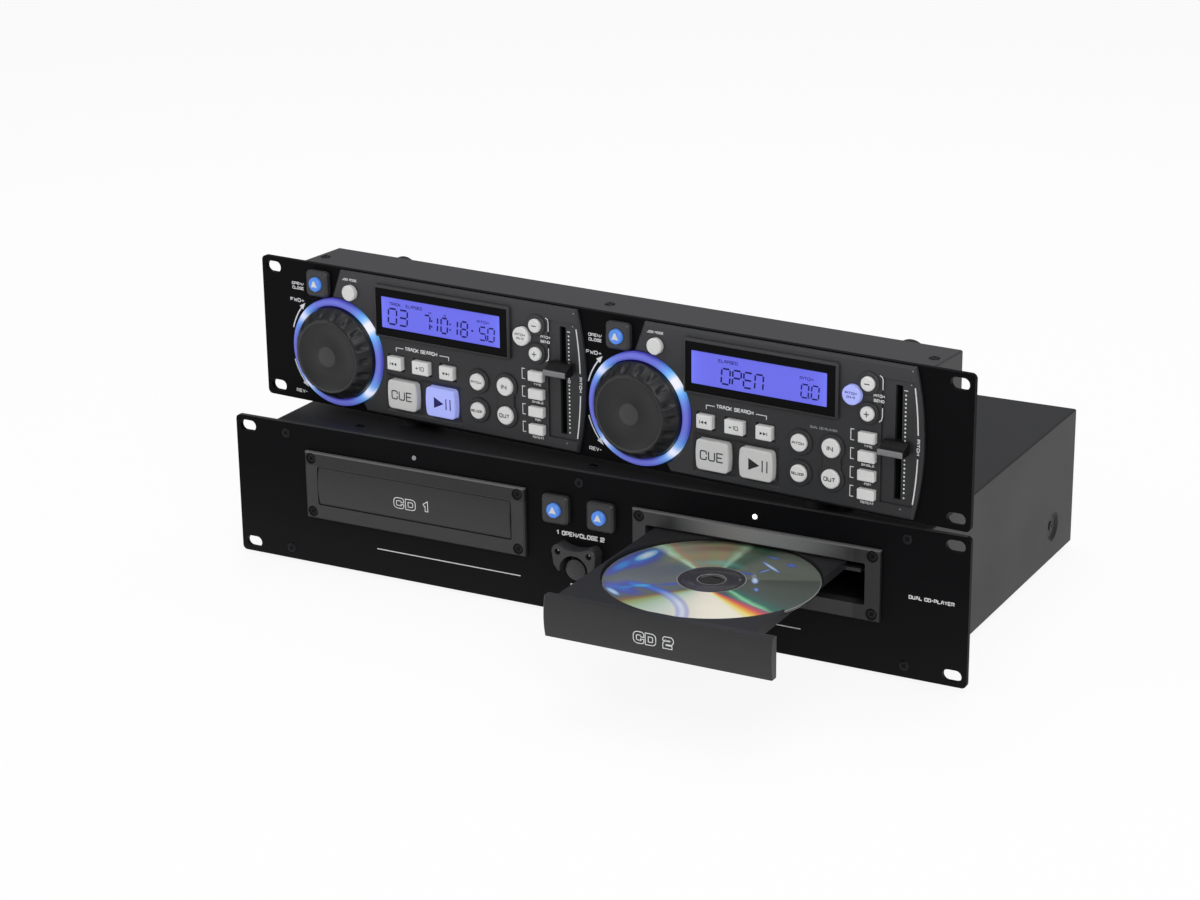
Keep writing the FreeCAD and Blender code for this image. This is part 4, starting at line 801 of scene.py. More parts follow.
    def _glow(self, u: Wire, v: Wire) -> tuple[Wire, Wire]:
        """Sum the painted reflections of the glints and the bow.

        Args:
            u: Place along the bright axis.
            v: Place across it.

        Returns:
            The painted violet light and the white light in it.
        """
        bow_u, bow_v = self.bow_centre
        reach = ((u - bow_u) ** 2.0 + (v - bow_v) ** 2.0) ** 0.5
        bow = reach.mound(self.bow_radius, self.bow_width) * u.ramp(-52.0, -44.0) * v.ramp(6.0, 0.0)
        halo, core = bow * 0.85, (bow**3.0) * v.ramp(-14.0, -34.0) * 0.9
        for glint in self.glints:
            cos, sin = math.cos(math.radians(glint.turn)), math.sin(math.radians(glint.turn))
            right, up = u - glint.along, v - glint.across
            ahead = (right * cos + up * sin) / glint.length
            aside = (up * cos - right * sin) / glint.width
            near = (1.0 - ahead**2.0 - aside**2.0).at_least(0.0)
            halo = halo + near * glint.power
            if glint.power > 1.0:
                core = core + (near**2.0) * (glint.power - 1.0)
        return halo, core


@dataclass(frozen=True)
class Clear(Finish):
    """Clear plastic of a disc's hub and rim, with faint moulding rings."""

    def build(self, shader: Shader) -> None:
        """Add faint moulding rings and a fine speckle.

        Args:
            shader: The shader in the making.
        """
        place = shader.place()
        reach = shader.vector("LENGTH", shader.vector("MULTIPLY", place, (1.0, 1.0, 0.0)), output=1)
        wave = (reach * 2.1).sine() * 0.3 + 0.4 + shader.noise(place, 1.6, 2.0) * 0.4
        shader.feed(Base_Color=wave.blend(shade(self.colour, 0.7), self.colour), Coat_Weight=0.4)


@dataclass(frozen=True)
class Board(Finish):
    """Lacquered circuit board with faint tracks."""

    def build(self, shader: Shader) -> None:
        """Draw the tracks as a fine brick pattern.

        Args:
            shader: The shader in the making.
        """
        inputs = {"Vector": shader.place(), "Scale": 90.0, "Mortar Size": 0.03}
        tracks = shader.node("ShaderNodeTexBrick", {"offset": 0.5}, inputs, output="Fac")
        shader.feed(Base_Color=tracks.blend(self.colour, shade(self.colour, 2.2)))
        shader.bump(tracks, 0.0001, 0.3)


class Look:
    """The product's finishes."""

    DRIVE_PANEL = PanelCoat("drive_panel_black", linear(12, 12, 14), 0.5, 0.05, mottle=0.2)
    CONTROL_PANEL = Coated("control_panel_black", linear(10, 10, 12), 0.5, 0.05, mottle=0.2)
    CASE = Coated("case_paint", linear(35, 35, 37), 0.5, 0.3)
    HOUSING = Coated("housing_paint", linear(56, 56, 58), 0.5, 0.34)
    BEZEL = BezelPlastic("bezel_plastic", linear(54, 54, 55), 0.45, 0.3)
    PAD = Moulded("pad_plastic", linear(56, 56, 58), 0.42, 0.35)
    GUARD = Moulded("guard_plastic", linear(52, 52, 53), 0.4, 0.35)
    FASCIA = FasciaPlastic("fascia_plastic", linear(44, 44, 46), 0.46, 0.3)
    DOOR = Moulded("door_plastic", linear(48, 48, 49), 0.4, 0.32)
    TRAY = Moulded("tray_plastic", linear(40, 40, 42), 0.44, 0.3)
    MECHANISM = Moulded("mechanism_plastic", linear(34, 34, 36), 0.5, 0.2)
    FRAME = Moulded("display_frame_plastic", linear(8, 8, 9), 0.4, 0.06)
    POWER = Moulded("power_key_plastic", linear(58, 58, 59), 0.42, 0.3)
    # the fader knob's front bar carries a painted highlight
    FADER = BarHighlightPlastic("fader_plastic", linear(20, 20, 21), 0.4, 0.3)
    KEY = Moulded("key_plastic", linear(226, 226, 224), 0.5, 0.3, grain=1800.0, depth=0.00001)
    LARGE_KEY = Moulded("large_key_plastic", linear(211, 211, 209), 0.5, 0.3, grain=1800.0, depth=0.00001)
    GEAR = Moulded("gear_plastic", linear(215, 214, 206), 0.4, 0.4)
    SOCKET = Moulded("socket_plastic", linear(26, 26, 28), 0.4, 0.4)
    RUBBER = Rubber("foot_rubber", linear(30, 30, 31), 0.8, 0.3)
    JOG = Moulded("jog_rim_plastic", linear(32, 32, 34), 0.36, 0.32, grain=2.6)
    JOG_FACE = Grooved("jog_face_plastic", linear(34, 34, 35), 0.42, 0.3)
    # the centre spot's paler plastic, also laid on the face's edge lip as a painted highlight
    JOG_SPOT_AND_LIP_HIGHLIGHT = Moulded("jog_spot_and_lip_highlight", linear(62, 62, 63), 0.5, 0.3, grain=2.6)
    SCREW = Steel("screw_black_steel", linear(40, 40, 42), 0.42)
    # screw recess colour: painted shade where the cross recess is
    RECESS_SHADE = Moulded("screw_recess_painted_shade", linear(6, 6, 7), 0.6, 0.05, grain=2.6)
    WHITE_INK = Ink("white_print", linear(232, 232, 232), 0.5, 0.2)
    GREY_INK = Ink("grey_print", linear(150, 150, 152), 0.5, 0.2)
    DARK_INK = Ink("dark_print", linear(40, 40, 43), 0.5, 0.2)
    BLUE_INK = Ink("blue_print", linear(34, 32, 108), 0.5, 0.2)
    LENS = Lit("eject_lens_glow", linear(74, 124, 200), 0.3, 0.4, strength=0.56, edge=linear(52, 92, 176))
    KEY_LIT = Lit("key_glow", linear(152, 160, 222), 0.4, 0.3, strength=0.5, edge=linear(138, 146, 214))
    LED_ON = Lit("light_on_glow", (1.0, 1.0, 1.0), 0.2, 0.5, strength=1.2, edge=(0.9, 0.95, 1.0))
    LED_OFF = Moulded("light_off_lens", linear(150, 152, 154), 0.3, 0.4)
    RING = RingGlow("ring_glow", linear(86, 90, 170), 0.35, 0.2)
    WINDOW = WindowGlow("display_glow", linear(82, 84, 184), 0.3, 0.2)
    SEGMENT = Ink("display_segment", linear(32, 30, 98), 0.5, 0.1)
    DATA = DiscData("disc_data_zone", (0.5, 0.5, 0.5), 0.3)
    HUB = Clear("disc_hub_clear", linear(66, 64, 68), 0.3, 0.4)
    # paler clear plastic on the disc's thin edges: painted highlights
    HUB_EDGE_HIGHLIGHT = Clear("disc_edge_highlight", linear(168, 168, 170), 0.25, 0.5)
    BOARD = Board("circuit_board", linear(16, 26, 20), 0.4, 0.3)


# ------------------------------------------------------------------ frames and meshes


@dataclass(frozen=True)
class Unit:
    """Local frame of one unit in millimetres: x right, y to the rear, z up from its front panel's foot."""

    origin: tuple[float, float, float]
    yaw: float

    def matrix(self, x: float = 0.0, y: float = 0.0, z: float = 0.0) -> Matrix:
        """Matrix that carries a piece drawn about a point of the unit to its place.

        Args:
            x: Across the unit.
            y: Depth behind the panel's front face.
            z: Height above the panel's foot.

        Returns:
            The matrix, from millimetres about that point to metres in the whole part.
        """
        turn = Matrix.Rotation(math.radians(self.yaw), 4, "Z")
        base = Matrix.Translation(Vector(self.origin) * MM)
        return base @ turn @ Matrix.Scale(MM, 4) @ Matrix.Translation((x, y, z))


DRIVE = Unit((0.0, -3.0, -44.45), 0.0)
CONTROL = Unit((2.36, 9.76, 49.6), -4.464)


class Anchor(Enum):
    """Which point of a line of text stands at its place, as a share of its width."""

    LEFT = 0.0
    CENTRE = 0.5


class Facing(Enum):
    """Way that a screw's head looks, as its turn about an axis from looking to the front."""

    FRONT = (0.0, "Z")
    RIGHT = (90.0, "Z")
    LEFT = (-90.0, "Z")
    UP = (-90.0, "X")

    def matrix(self, place: Sequence[float]) -> Matrix:
        """Matrix that turns a head this way and stands it at a place."""
        angle, axis = self.value
        return Matrix.Translation(place) @ Matrix.Rotation(math.radians(angle), 4, axis)


def arc(x: float, z: float, radius: float, start: float, end: float, steps: int = 14) -> list[Point]:
    """Points along an arc, from one angle to another in degrees."""
    turns = [math.radians(start + (end - start) * step / steps) for step in range(steps + 1)]
    return [(x + radius * math.cos(turn), z + radius * math.sin(turn)) for turn in turns]


def circle(x: float, z: float, radius: float, steps: int) -> list[Point]:
    """Corners of a circle."""
    return arc(x, z, radius, 0.0, 360.0, steps)[:-1]


def rounded(x: float, z: float, width: float, height: float, corner: float) -> list[Point]:
    """Corners of a rectangle with small round corners, each of two stretches.

    Args:
        x: Its middle across.
        z: Its middle upward.
        width: Its width.
        height: Its height.
        corner: Radius of the corners.

    Returns:
        The corners in order.
    """
    points: list[Point] = []
    for side_x, side_z, start in ((1, 1, 0), (-1, 1, 90), (-1, -1, 180), (1, -1, 270)):
        centre = x + side_x * (width / 2 - corner), z + side_z * (height / 2 - corner)
        points += arc(*centre, corner, start, start + 90, 2)
    return points


def sides(points: Sequence[Point], width: float, closed: bool) -> tuple[list[Point], list[Point]]:
    """The two edges of a line of even width that follows points.

    Args:
        points: Points of the line's middle.
        width: Its width.
        closed: Whether it runs on from its last point to its first.

    Returns:
        The edge on its left and the edge on its right.
    """
    count = len(points)
    left, right = [], []
    for index, point in enumerate(points):
        here = Vector(point)
        before = Vector(points[index - 1] if index or closed else point)
        after = Vector(points[(index + 1) % count] if index < count - 1 or closed else point)
        into, out = (here - before).normalized(), (after - here).normalized()
        along = (into + out).normalized()
        lean = max(along.dot(out if out.length else into), 0.5)
        step = Vector((-along.y, along.x)) * (width / 2 / lean)
        left.append(tuple(here + step))
        right.append(tuple(here - step))
    return left, right


class Form:
    """A mesh in the making, drawn in millimetres about a point of one unit."""

    def __init__(self) -> None:
        """Start with no faces."""
        self.mesh = bmesh.new()
        self.finishes: list[Finish] = []

    def slot(self, finish: Finish) -> int:
        """Number of a finish in this form's list.

        Args:
            finish: The finish.

        Returns:
            Its number.
        """
        if finish not in self.finishes:
            self.finishes.append(finish)
        return self.finishes.index(finish)

    def prism(self, outline: Sequence[Point], front: float, back: float, finish: Finish) -> None:
        """Raise an outline of x and z between two depths.

        Args:
            outline: Corners in order.
            front: Depth of the front face.
            back: Depth of the back face.
            finish: Finish of its faces.
        """
        slot = self.slot(finish)
        near = [self.mesh.verts.new((x, front, z)) for x, z in outline]
        far = [self.mesh.verts.new((x, back, z)) for x, z in outline]
        made = [self.mesh.faces.new(near), self.mesh.faces.new(list(reversed(far)))]
        for index in range(len(outline)):
            after = (index + 1) % len(outline)
            made.append(self.mesh.faces.new((near[index], far[index], far[after], near[after])))
        bmesh.ops.recalc_face_normals(self.mesh, faces=made)
        for face in made:
            face.material_index = slot

    def flat(self, outline: Sequence[Point], depth: float, finish: Finish) -> None:
        """Lay one flat printed face at a depth, facing the front.

        Args:
            outline: Corners in order.
            depth: Depth of the face.
            finish: Ink.
        """
        face = self.mesh.faces.new([self.mesh.verts.new((x, depth, z)) for x, z in outline])
        face.material_index = self.slot(finish)
        face.normal_update()
        if face.normal.y > 0:
            face.normal_flip()

    def bar(self, x: float, z: float, width: float, tall: float, depth: float, finish: Finish) -> None:
        """Lay a flat printed bar about a point."""
        left, right, low, high = x - width / 2, x + width / 2, z - tall / 2, z + tall / 2
        self.flat([(left, low), (right, low), (right, high), (left, high)], depth, finish)

    def line(
        self, points: Sequence[Point], width: float, depth: float, finish: Finish, closed: bool = False
    ) -> None:
        """Print a line through points, one face for each stretch.

        Args:
            points: Points of its middle.
            width: Its width.
            depth: Depth of the printed face.
            finish: Ink.
            closed: Whether it runs on from its last point to its first.
        """
        left, right = sides(points, width, closed)
        count = len(points)
        for index in range(count if closed else count - 1):
            after = (index + 1) % count
            self.flat([left[index], left[after], right[after], right[index]], depth, finish)

    def revolve(self, profile: Sequence[Point], finish: Finish | Sequence[Finish], steps: int) -> None:
        """Turn a profile of depth and radius about the form's own Y axis.

        Args:
            profile: Points of depth and radius, in order.
            finish: One finish, or one for each stretch of the profile.
            steps: Sides round the axis.
        """
        rings = []
        for depth, radius in profile:
            if radius < 1e-6:
                rings.append([self.mesh.verts.new((0.0, depth, 0.0))])
                continue
            rings.append([self.mesh.verts.new((x, depth, z)) for x, z in circle(0.0, 0.0, radius, steps)])
        for index, (first, second) in enumerate(zip(rings, rings[1:])):
            use = finish if isinstance(finish, Finish) else finish[index]
            self.skin(first, second, use, steps)

    def skin(
        self, first: list[bmesh.types.BMVert], second: list[bmesh.types.BMVert], finish: Finish, steps: int
    ) -> None:
        """Join two rings of points, either of which may be a single point.

        Args:
            first: One ring.
            second: The next ring.
            finish: Finish of the faces between them.
            steps: Points in a ring.
        """
        slot = self.slot(finish)
        for step in range(steps):
            after = (step + 1) % steps
            corners = [first[step % len(first)], second[step % len(second)]]
            corners += [second[after % len(second)], first[after % len(first)]]
            unique = list(dict.fromkeys(corners))
            if len(unique) > 2:
                face = self.mesh.faces.new(unique)
                face.material_index, face.smooth = slot, True

    def finish(self, name: str, body: str, place: Matrix, slot: str | None = None) -> bpy.types.Object:
        """Turn the form into a piece that rides on a body.

        Args:
            name: The piece's name.
            body: The body that it rides on.
            place: Matrix from the form's millimetres to the whole part.
            slot: The record's material slot, if it has one; not used.

        Returns:
            The piece.
        """
        bmesh.ops.remove_doubles(self.mesh, verts=self.mesh.verts, dist=1e-5)
        data = bpy.data.meshes.new(name)
        self.mesh.to_mesh(data)
        self.mesh.free()
        for finish in self.finishes:
            data.materials.append(finish.material())
        piece = bpy.data.objects.new(name, data)
        bpy.context.scene.collection.objects.link(piece)
        piece.matrix_world = place
        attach(piece, body)
        LOG.info("%s: %d faces", name, len(data.polygons))
        return piece


@dataclass
class Lettering:
    """Square, wide lettering drawn with strokes on a grid of six by eight.

    Each glyph is a row of strokes parted by bars. A stroke is a row of grid points, and a point with an
    exclamation mark stays a sharp corner where the others are rounded.
    """

    ink: Finish
    weight: float = 0.2
    gap: float = 2.4
    corner: float = 0.2
    space: float = 4.5

    GLYPHS = {
        "A": "00! 28! 48! 60!|14! 54!",
        "B": "04! 08! 58 54!|04! 00! 60 64 04!",
        "C": "65 68 08 00 60 63",
        "D": "00! 08! 68 60 00!",
        "E": "68! 08! 00! 60!|04! 54!",
        "F": "68! 08! 00!|04! 54!",
        "G": "65 68 08 00 60 64! 34!",
        "H": "00! 08!|60! 68!|04! 64!",
        "I": "30! 38!",
        "J": "68! 60 00 02",
        "K": "00! 08!|68! 14! 60!|04! 14!",
        "L": "08! 00! 60!",
        "M": "00! 08! 34! 68! 60!",
        "N": "00! 08! 60! 68!",
        "O": "08 68 60 00 08",
        "P": "00! 08! 68 63 03!",
        "R": "00! 08! 68 63 03!|43! 60!",
        "S": "66 68 08 04 64 60 00 02",
        "T": "08! 68!|30! 38!",
        "U": "08! 00 60 68!",
        "V": "08! 30! 68!",
        "W": "08! 10! 35! 50! 68!",
        "Y": "08! 34! 68!|34! 30!",
        "0": "08 68 60 00 08",
        "1": "16! 38! 30!",
        "2": "06 08 68 64 04 00! 60!",
        "+": "04! 64!|31! 37!",
        "-": "14! 54!",
        "/": "10! 58!",
    }

    def glyph(self, letter: str) -> list[list[tuple[float, float, bool]]]:
        """Strokes of one letter, each point with whether it is a round corner."""
        rows = self.GLYPHS[letter].split("|")
        return [[(float(p[0]), float(p[1]), not p.endswith("!")) for p in row.split()] for row in rows]

    def layout(self, words: str, height: float, width: float) -> list[list[Point]]:
        """Lay words out about the middle of their left edge.

        Args:
            words: What they say.
            height: Height of the capitals, over the strokes.
            width: Width of the whole line, over the strokes.

        Returns:
            The middles of the strokes; a closed one ends where it starts.
        """
        edge = 0.0
        strokes = []
        for letter in words:
            if letter == " ":
                edge += self.space
                continue
            glyph = self.glyph(letter)
            xs = [x for stroke in glyph for x, _, _ in stroke]
            strokes += [[(x - min(xs) + edge, z, soft) for x, z, soft in stroke] for stroke in glyph]
            edge += max(xs) - min(xs) + self.gap
        thick = self.weight * height
        across = (width - thick) / max(edge - self.gap, 1.0)
        up = (height - thick) / 8.0
        placed = []
        for stroke in strokes:
            line = [(x * across + thick / 2, (z - 4.0) * up, soft) for x, z, soft in stroke]
            placed.append(self.soften(line, self.corner * height))
        return placed

    @staticmethod
    def soften(line: Sequence[tuple[float, float, bool]], radius: float) -> list[Point]:
        """Round those corners of a stroke that are soft.

        Args:
            line: Points of the stroke, each with whether it is a soft corner.
            radius: Radius of the rounding.

        Returns:
            The stroke's points.
        """
        closed = line[0][:2] == line[-1][:2]
        core = line[:-1] if closed else line
        count = len(core)
        points: list[Point] = []
        for index, (x, z, soft) in enumerate(core):
            if not soft or (not closed and index in (0, count - 1)):
                points.append((x, z))
                continue
            here = Vector((x, z))
            before = Vector(core[index - 1][:2]) - here
            after = Vector(core[(index + 1) % count][:2]) - here
            reach = min(radius, before.length * 0.48, after.length * 0.48)
            start, end = here + before.normalized() * reach, here + after.normalized() * reach
            for share in (0.0, 0.25, 0.5, 0.75, 1.0):
                spot = start * (1 - share) ** 2 + here * (2 * share * (1 - share)) + end * share**2
                points.append((spot.x, spot.y))
        return points + points[:1] if closed else points

    def write(
        self,
        form: Form,
        words: str,
        at: Point,
        size: Point,
        depth: float,
        anchor: Anchor = Anchor.CENTRE,
        turn: float = 0.0,
    ) -> None:
        """Print words at a depth.

        Args:
            form: The form that takes them.
            words: What they say.
            at: Their anchor's x and the z of their middle.
            size: Height of the capitals and width of the line.
            depth: Depth of the printed face.
            anchor: Which end stands at the place.
            turn: Turn in degrees, anticlockwise seen from the front.
        """
        height, width = size
        cos, sin = math.cos(math.radians(turn)), math.sin(math.radians(turn))
        for stroke in self.layout(words, height, width):
            moved = [(x - width * anchor.value, z) for x, z in stroke]
            placed = [(at[0] + x * cos - z * sin, at[1] + x * sin + z * cos) for x, z in moved]
            closed = placed[0] == placed[-1]
            form.line(placed[:-1] if closed else placed, self.weight * height, depth, self.ink, closed)

    def outline(self, form: Form, words: str, at: Point, size: Point, depth: float, line: float) -> None:
        """Print words as the outlines of their strokes.

        Args:
            form: The form that takes them.
            words: What they say.
            at: The middle of the line.
            size: Height of the capitals and width of the line.
            depth: Depth of the printed face.
            line: Width of the outlines.
        """
        height, width = size
        for stroke in self.layout(words, height, width):
            placed = [(at[0] - width / 2 + x, at[1] + z) for x, z in stroke]
            closed = placed[0] == placed[-1]
            left, right = sides(placed[:-1] if closed else placed, self.weight * height - line, closed)
            rims = [left, right] if closed else [left + right[::-1]]
            for rim in rims:
                form.line(rim, line, depth, self.ink, closed=True)


# ------------------------------------------------------------------ sub-assemblies


@dataclass
class CarriedFinishes:
    """Gives every CAD node that shows its finish; a node without a row is a key."""

    rows: tuple[tuple[Finish, str], ...] = (
        (Look.DRIVE_PANEL, "drive_front_panel"),
        (Look.CONTROL_PANEL, "control_front_panel"),
        (Look.CASE, "drive_base drive_cover"),
        (Look.HOUSING, "control_housing"),
        (Look.RUBBER, "drive_feet control_feet"),
        (Look.BEZEL, "tray_bezels"),
        (Look.GUARD, "panel_guards"),
        (Look.PAD, "control_eject_pads"),
        (Look.LED_OFF, "indicator_lights"),
        (Look.MECHANISM, "loader_mechanisms"),
        (Look.BOARD, "drive_electronics control_electronics"),
        (Look.SOCKET, "rear_sockets"),
        (Look.TRAY, "tray_1 tray_2"),
        (Look.DOOR, "tray_door_1 tray_door_2"),
        (Look.GEAR, "tray_pinion_1 tray_pinion_2"),
        (Look.POWER, "power_button"),
        (Look.FASCIA, "deck_fascias"),
        (Look.KEY_LIT, "play_button_1 pitch_mode_button_2"),
        (Look.LARGE_KEY, "cue_button_1 cue_button_2 play_button_2"),
        (Look.FADER, "pitch_fader_1 pitch_fader_2"),
        (Look.LENS, "drive_eject_button_1 drive_eject_button_2 eject_button_1 eject_button_2"),
    )

    def dress(self, nodes: dict[str, bpy.types.Object]) -> None:
        """Give each node its finish.

        Args:
            nodes: The CAD nodes by name.
        """
        finishes = {node: finish for finish, names in self.rows for node in names.split()}
        for name, item in nodes.items():
            item.data.materials.clear()
            item.data.materials.append(finishes.get(name, Look.KEY).material())
            LOG.info("node %s dressed", name)


@dataclass
class Screw:
    """Cross-head screw: a domed head with its cross recess painted in shade, drawn with its axis along Y.

    The dome's rows are shares of the rise and of the radius, and the recess's sizes are shares of the
    radius.
    """

    radius: float = 3.1
    rise: float = 0.7
    steps: int = 24
    dome: tuple[Point, ...] = ((0.0, 1.0), (-0.5, 0.97), (-0.82, 0.84), (-1.0, 0.62))
    arm: float = 0.5
    half: float = 0.12

    def draw(self, form: Form, place: Sequence[float], facing: Facing = Facing.FRONT) -> None:
        """Add a head with its recess painted in shade.

        Args:
            form: The form that takes it.
            place: The middle of the face that the head stands on.
            facing: Way that it looks.
        """
        stand = facing.matrix(place)
        slot, dark = form.slot(Look.SCREW), form.slot(Look.RECESS_SHADE)
        last: list[bmesh.types.BMVert] = []
        for level, share in self.dome:
            outline = circle(0.0, 0.0, self.radius * share, self.steps)
            ring = [form.mesh.verts.new(stand @ Vector((x, level * self.rise, z))) for x, z in outline]
            for index in range(self.steps if last else 0):
                after = (index + 1) % self.steps
                face = form.mesh.faces.new((last[index], last[after], ring[after], ring[index]))
                face.material_index, face.smooth = slot, True
            last = ring
        form.mesh.faces.new(last).material_index = slot
        # the cross recess is a flat face in front of the head, painted in shade
        front = -self.rise - 0.02
        cross = [form.mesh.verts.new(stand @ Vector((x, front, z))) for x, z in self._recess()]
        form.mesh.faces.new(cross).material_index = dark

    def _recess(self) -> list[Point]:
        """Corners of the cross, one arm after the other.

        Returns:
            The corners, across the head and up it.
        """
        arm, half = self.radius * self.arm, self.radius * self.half
        corners = []
        for step in range(4):
            angle = math.radians(45 + 90 * step)
            cos, sin = math.cos(angle), math.sin(angle)
            for x, z in ((arm, -half), (arm, half), (half, half)):
                corners.append((x * cos - z * sin, x * sin + z * cos))
        return corners


def eject_arrow(form: Form, x: float, z: float, front: float) -> None:
    """Print the white arrow of an eject button, its foot notched in the middle."""
    corners = [(-2.35, -1.75), (0.0, -1.35), (2.35, -1.75), (0.45, 2.3), (-0.45, 2.3)]
    form.flat([(x + dx, z + dz) for dx, dz in corners], front - PRINT, Look.WHITE_INK)


@dataclass
class DriveFront:
    """Printing, lights and screws of the drive unit."""

    tray_offset: float = 112.7
    bezel_front: float = -1.8
    line_height: float = 17.1
    line_span: Point = (40.6, 141.3)
    eject: tuple[float, float, float] = (14.9, 64.0, -5.9)
    light: Point = (112.5, 79.9)
    panel_screw: tuple[float, float, float] = (204.4, 7.0, 82.0)
    bezel_screw: tuple[float, float, float] = (72.4, 35.1, 69.3)
    side_screws: tuple[float, float, float, float] = (214.4, 38.0, 206.5, 22.4)
    top_screws: tuple[float, float, float] = (162.0, 17.0, 87.5)
    guard_screws: tuple[float, float, float] = (10.3, -6.4, 40.7)
    words: tuple[Words, ...] = (
        ("1", (-14.9, 49.2), (2.9, 1.5)),
        ("OPEN/CLOSE", (0.0, 49.2), (2.9, 24.2)),
        ("2", (14.9, 49.2), (2.9, 3.0)),
        ("POWER", (0.0, 17.2), (2.6, 13.6)),
        ("DUAL CD-PLAYER", (219.5, 48.5), (2.3, 27.0)),
    )

    def build(self) -> None:
        """Build all that the drive unit's front carries."""
        self._legends()
        self._marks()
        self._lamp()
        self._screws()
        self._guard_screws()

    def _legends(self) -> None:
        """Print the panel's words and lines."""
        form = Form()
        near, far = self.line_span
        for side in (-1, 1):
            middle = side * (near + far) / 2
            form.bar(middle, self.line_height, far - near, 0.6, -PRINT, Look.WHITE_INK)
        letters = Lettering(Look.WHITE_INK, weight=0.24)
        for words, at, size in self.words:
            letters.write(form, words, at, size, -PRINT)
        form.finish("drive_legends", "drive_unit", DRIVE.matrix())

    def _marks(self) -> None:
        """Put the white arrow on each eject button."""
        x, z, front = self.eject
        for number, side in ((1, -1), (2, 1)):
            form = Form()
            eject_arrow(form, side * x, z, front)
            form.finish(f"drive_eject_mark_{number}", f"drive_eject_button_{number}", DRIVE.matrix())

    def _lamp(self) -> None:
        """Cap the right indicator, which is lit, with a glowing dome."""
        form = Form()
        dome = [(0.35, 1.5), (-0.5, 1.5), (-0.9, 1.2), (-1.1, 0.7), (-1.16, 0.0)]
        form.revolve(dome, Look.LED_ON, 24)
        x, z = self.light
        form.finish("tray_light_lit", "drive_unit", DRIVE.matrix(x, -0.02, z))

    def _screws(self) -> None:
        """Draw the heads of the panel, bezel and cover screws."""
        form, head = Form(), Screw()
        across, *levels = self.panel_screw
        reach, *heights = self.bezel_screw
        side_x, near_y, far_y, side_z = self.side_screws
        for side in (-1, 1):
            for z in levels:
                head.draw(form, (side * across, 0.0, z))
            for x in (-reach, reach):
                for z in heights:
                    place = side * self.tray_offset + x, self.bezel_front, z
                    head.draw(form, place)
            looks = Facing.RIGHT if side > 0 else Facing.LEFT
            for y in (near_y, far_y):
                head.draw(form, (side * side_x, y, side_z), looks)
        head.draw(form, (0.0, 0.0, levels[-1]))
        spread, y, high = self.top_screws
        for x in (-spread, 0.0, spread):
            head.draw(form, (x, y, high), Facing.UP)
        piece = form.finish("drive_screw_heads", "drive_unit", DRIVE.matrix())
        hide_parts("drive_screws")

    def _guard_screws(self) -> None:
        """Draw the small sunk heads in the power button's guard, each with a painted highlight."""
        form, head = Form(), Screw(1.85, 0.6)
        spread, seat, z = self.guard_screws
        for x in (-spread, spread):
            head.draw(form, (x, seat, z))
            # painted highlight: a small white disc on each head
            form.flat(circle(x - 0.3, z + 0.3, 0.55, 12), seat - 0.65, Look.WHITE_INK)
        form.finish("guard_screw_heads", "drive_unit", DRIVE.matrix())


@dataclass
class TrayDoorLabel:
    """Outlined words on a tray door's crowned face."""

    number: int
    centre: float
    depth: float
    level: float = 51.0
    size: Point = (7.2, 24.4)
    crown: float = 43.94
    middle: float = 52.3
    strip: float = 0.7

    def build(self) -> None:
        """Print the outlined words, cut them into slices and bend them to the door's crown."""
        form = Form()
        letters = Lettering(Look.WHITE_INK, weight=0.33, gap=3.6, corner=0.24)
        at = self.centre - 0.8, self.level
        letters.outline(form, f"CD {self.number}", at, self.size, self.depth - 0.05, 0.5)
        for step in range(-7, 6):
            whole = [*form.mesh.verts, *form.mesh.edges, *form.mesh.faces]
            cut = (0.0, 0.0, self.middle + self.strip * step)
            bmesh.ops.bisect_plane(form.mesh, geom=whole, plane_co=cut, plane_no=UPWARD)
        for vertex in form.mesh.verts:
            away = vertex.co.z - self.middle
            fall = self.crown - math.sqrt(self.crown**2 - away**2)
            vertex.co.y = max(vertex.co.y + fall, self.depth)
        form.finish(f"tray_door_words_{self.number}", f"tray_{self.number}", DRIVE.matrix())


@dataclass
class Disc:
    """The disc in the open tray: clear hub with a bright rim painted as a highlight, data zone and clear
    edge.
    """

    centre: float = 112.7
    middle: float = -55.38
    low: float = 60.5
    thick: float = 1.2
    bore: float = 7.5
    outer: float = 60.0

    def build(self) -> None:
        """Turn the disc from its profile and stand it for the CAD disc."""
        form, top = Form(), -self.thick
        # the bright edge stretches are painted highlights on the clear plastic's edges
        stretches = (
            (0.0, self.bore, Look.HUB),
            (top + 0.12, self.bore, Look.HUB),
            (top, self.bore + 0.2, Look.HUB_EDGE_HIGHLIGHT),
            (top, 8.2, Look.HUB),
            (top, 16.4, Look.HUB),
            (top + 0.1, 16.6, Look.HUB),
            (top + 0.1, 17.0, Look.HUB),
            (top, 17.2, Look.HUB),
            (top, 18.7, Look.HUB_EDGE_HIGHLIGHT),
            (top, 19.1, Look.DATA),
            (top, 58.6, Look.DATA),
            (top, self.outer - 0.4, Look.HUB_EDGE_HIGHLIGHT),
            (top + 0.2, self.outer, Look.HUB),
            (0.0, self.outer, Look.DATA),
            (0.0, self.bore, Look.DATA),
        )
        profile = [(depth, radius) for depth, radius, _ in stretches]
        form.revolve(profile, [finish for *_, finish in stretches], 120)
        form.mesh.transform(Matrix.Rotation(math.radians(-90), 4, "X"))
        bmesh.ops.recalc_face_normals(form.mesh, faces=form.mesh.faces)
        place = DRIVE.matrix(self.centre, self.middle, self.low)
        piece = form.finish("disc_face", "disc_2", place, slot="disc")
        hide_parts("disc_2")


@dataclass(frozen=True)
class Digits:
    """A run of digits on a display: what it says, where its foot starts, and one digit's size."""

    letters: str
    left: float
    low: float
    wide: float
    tall: float


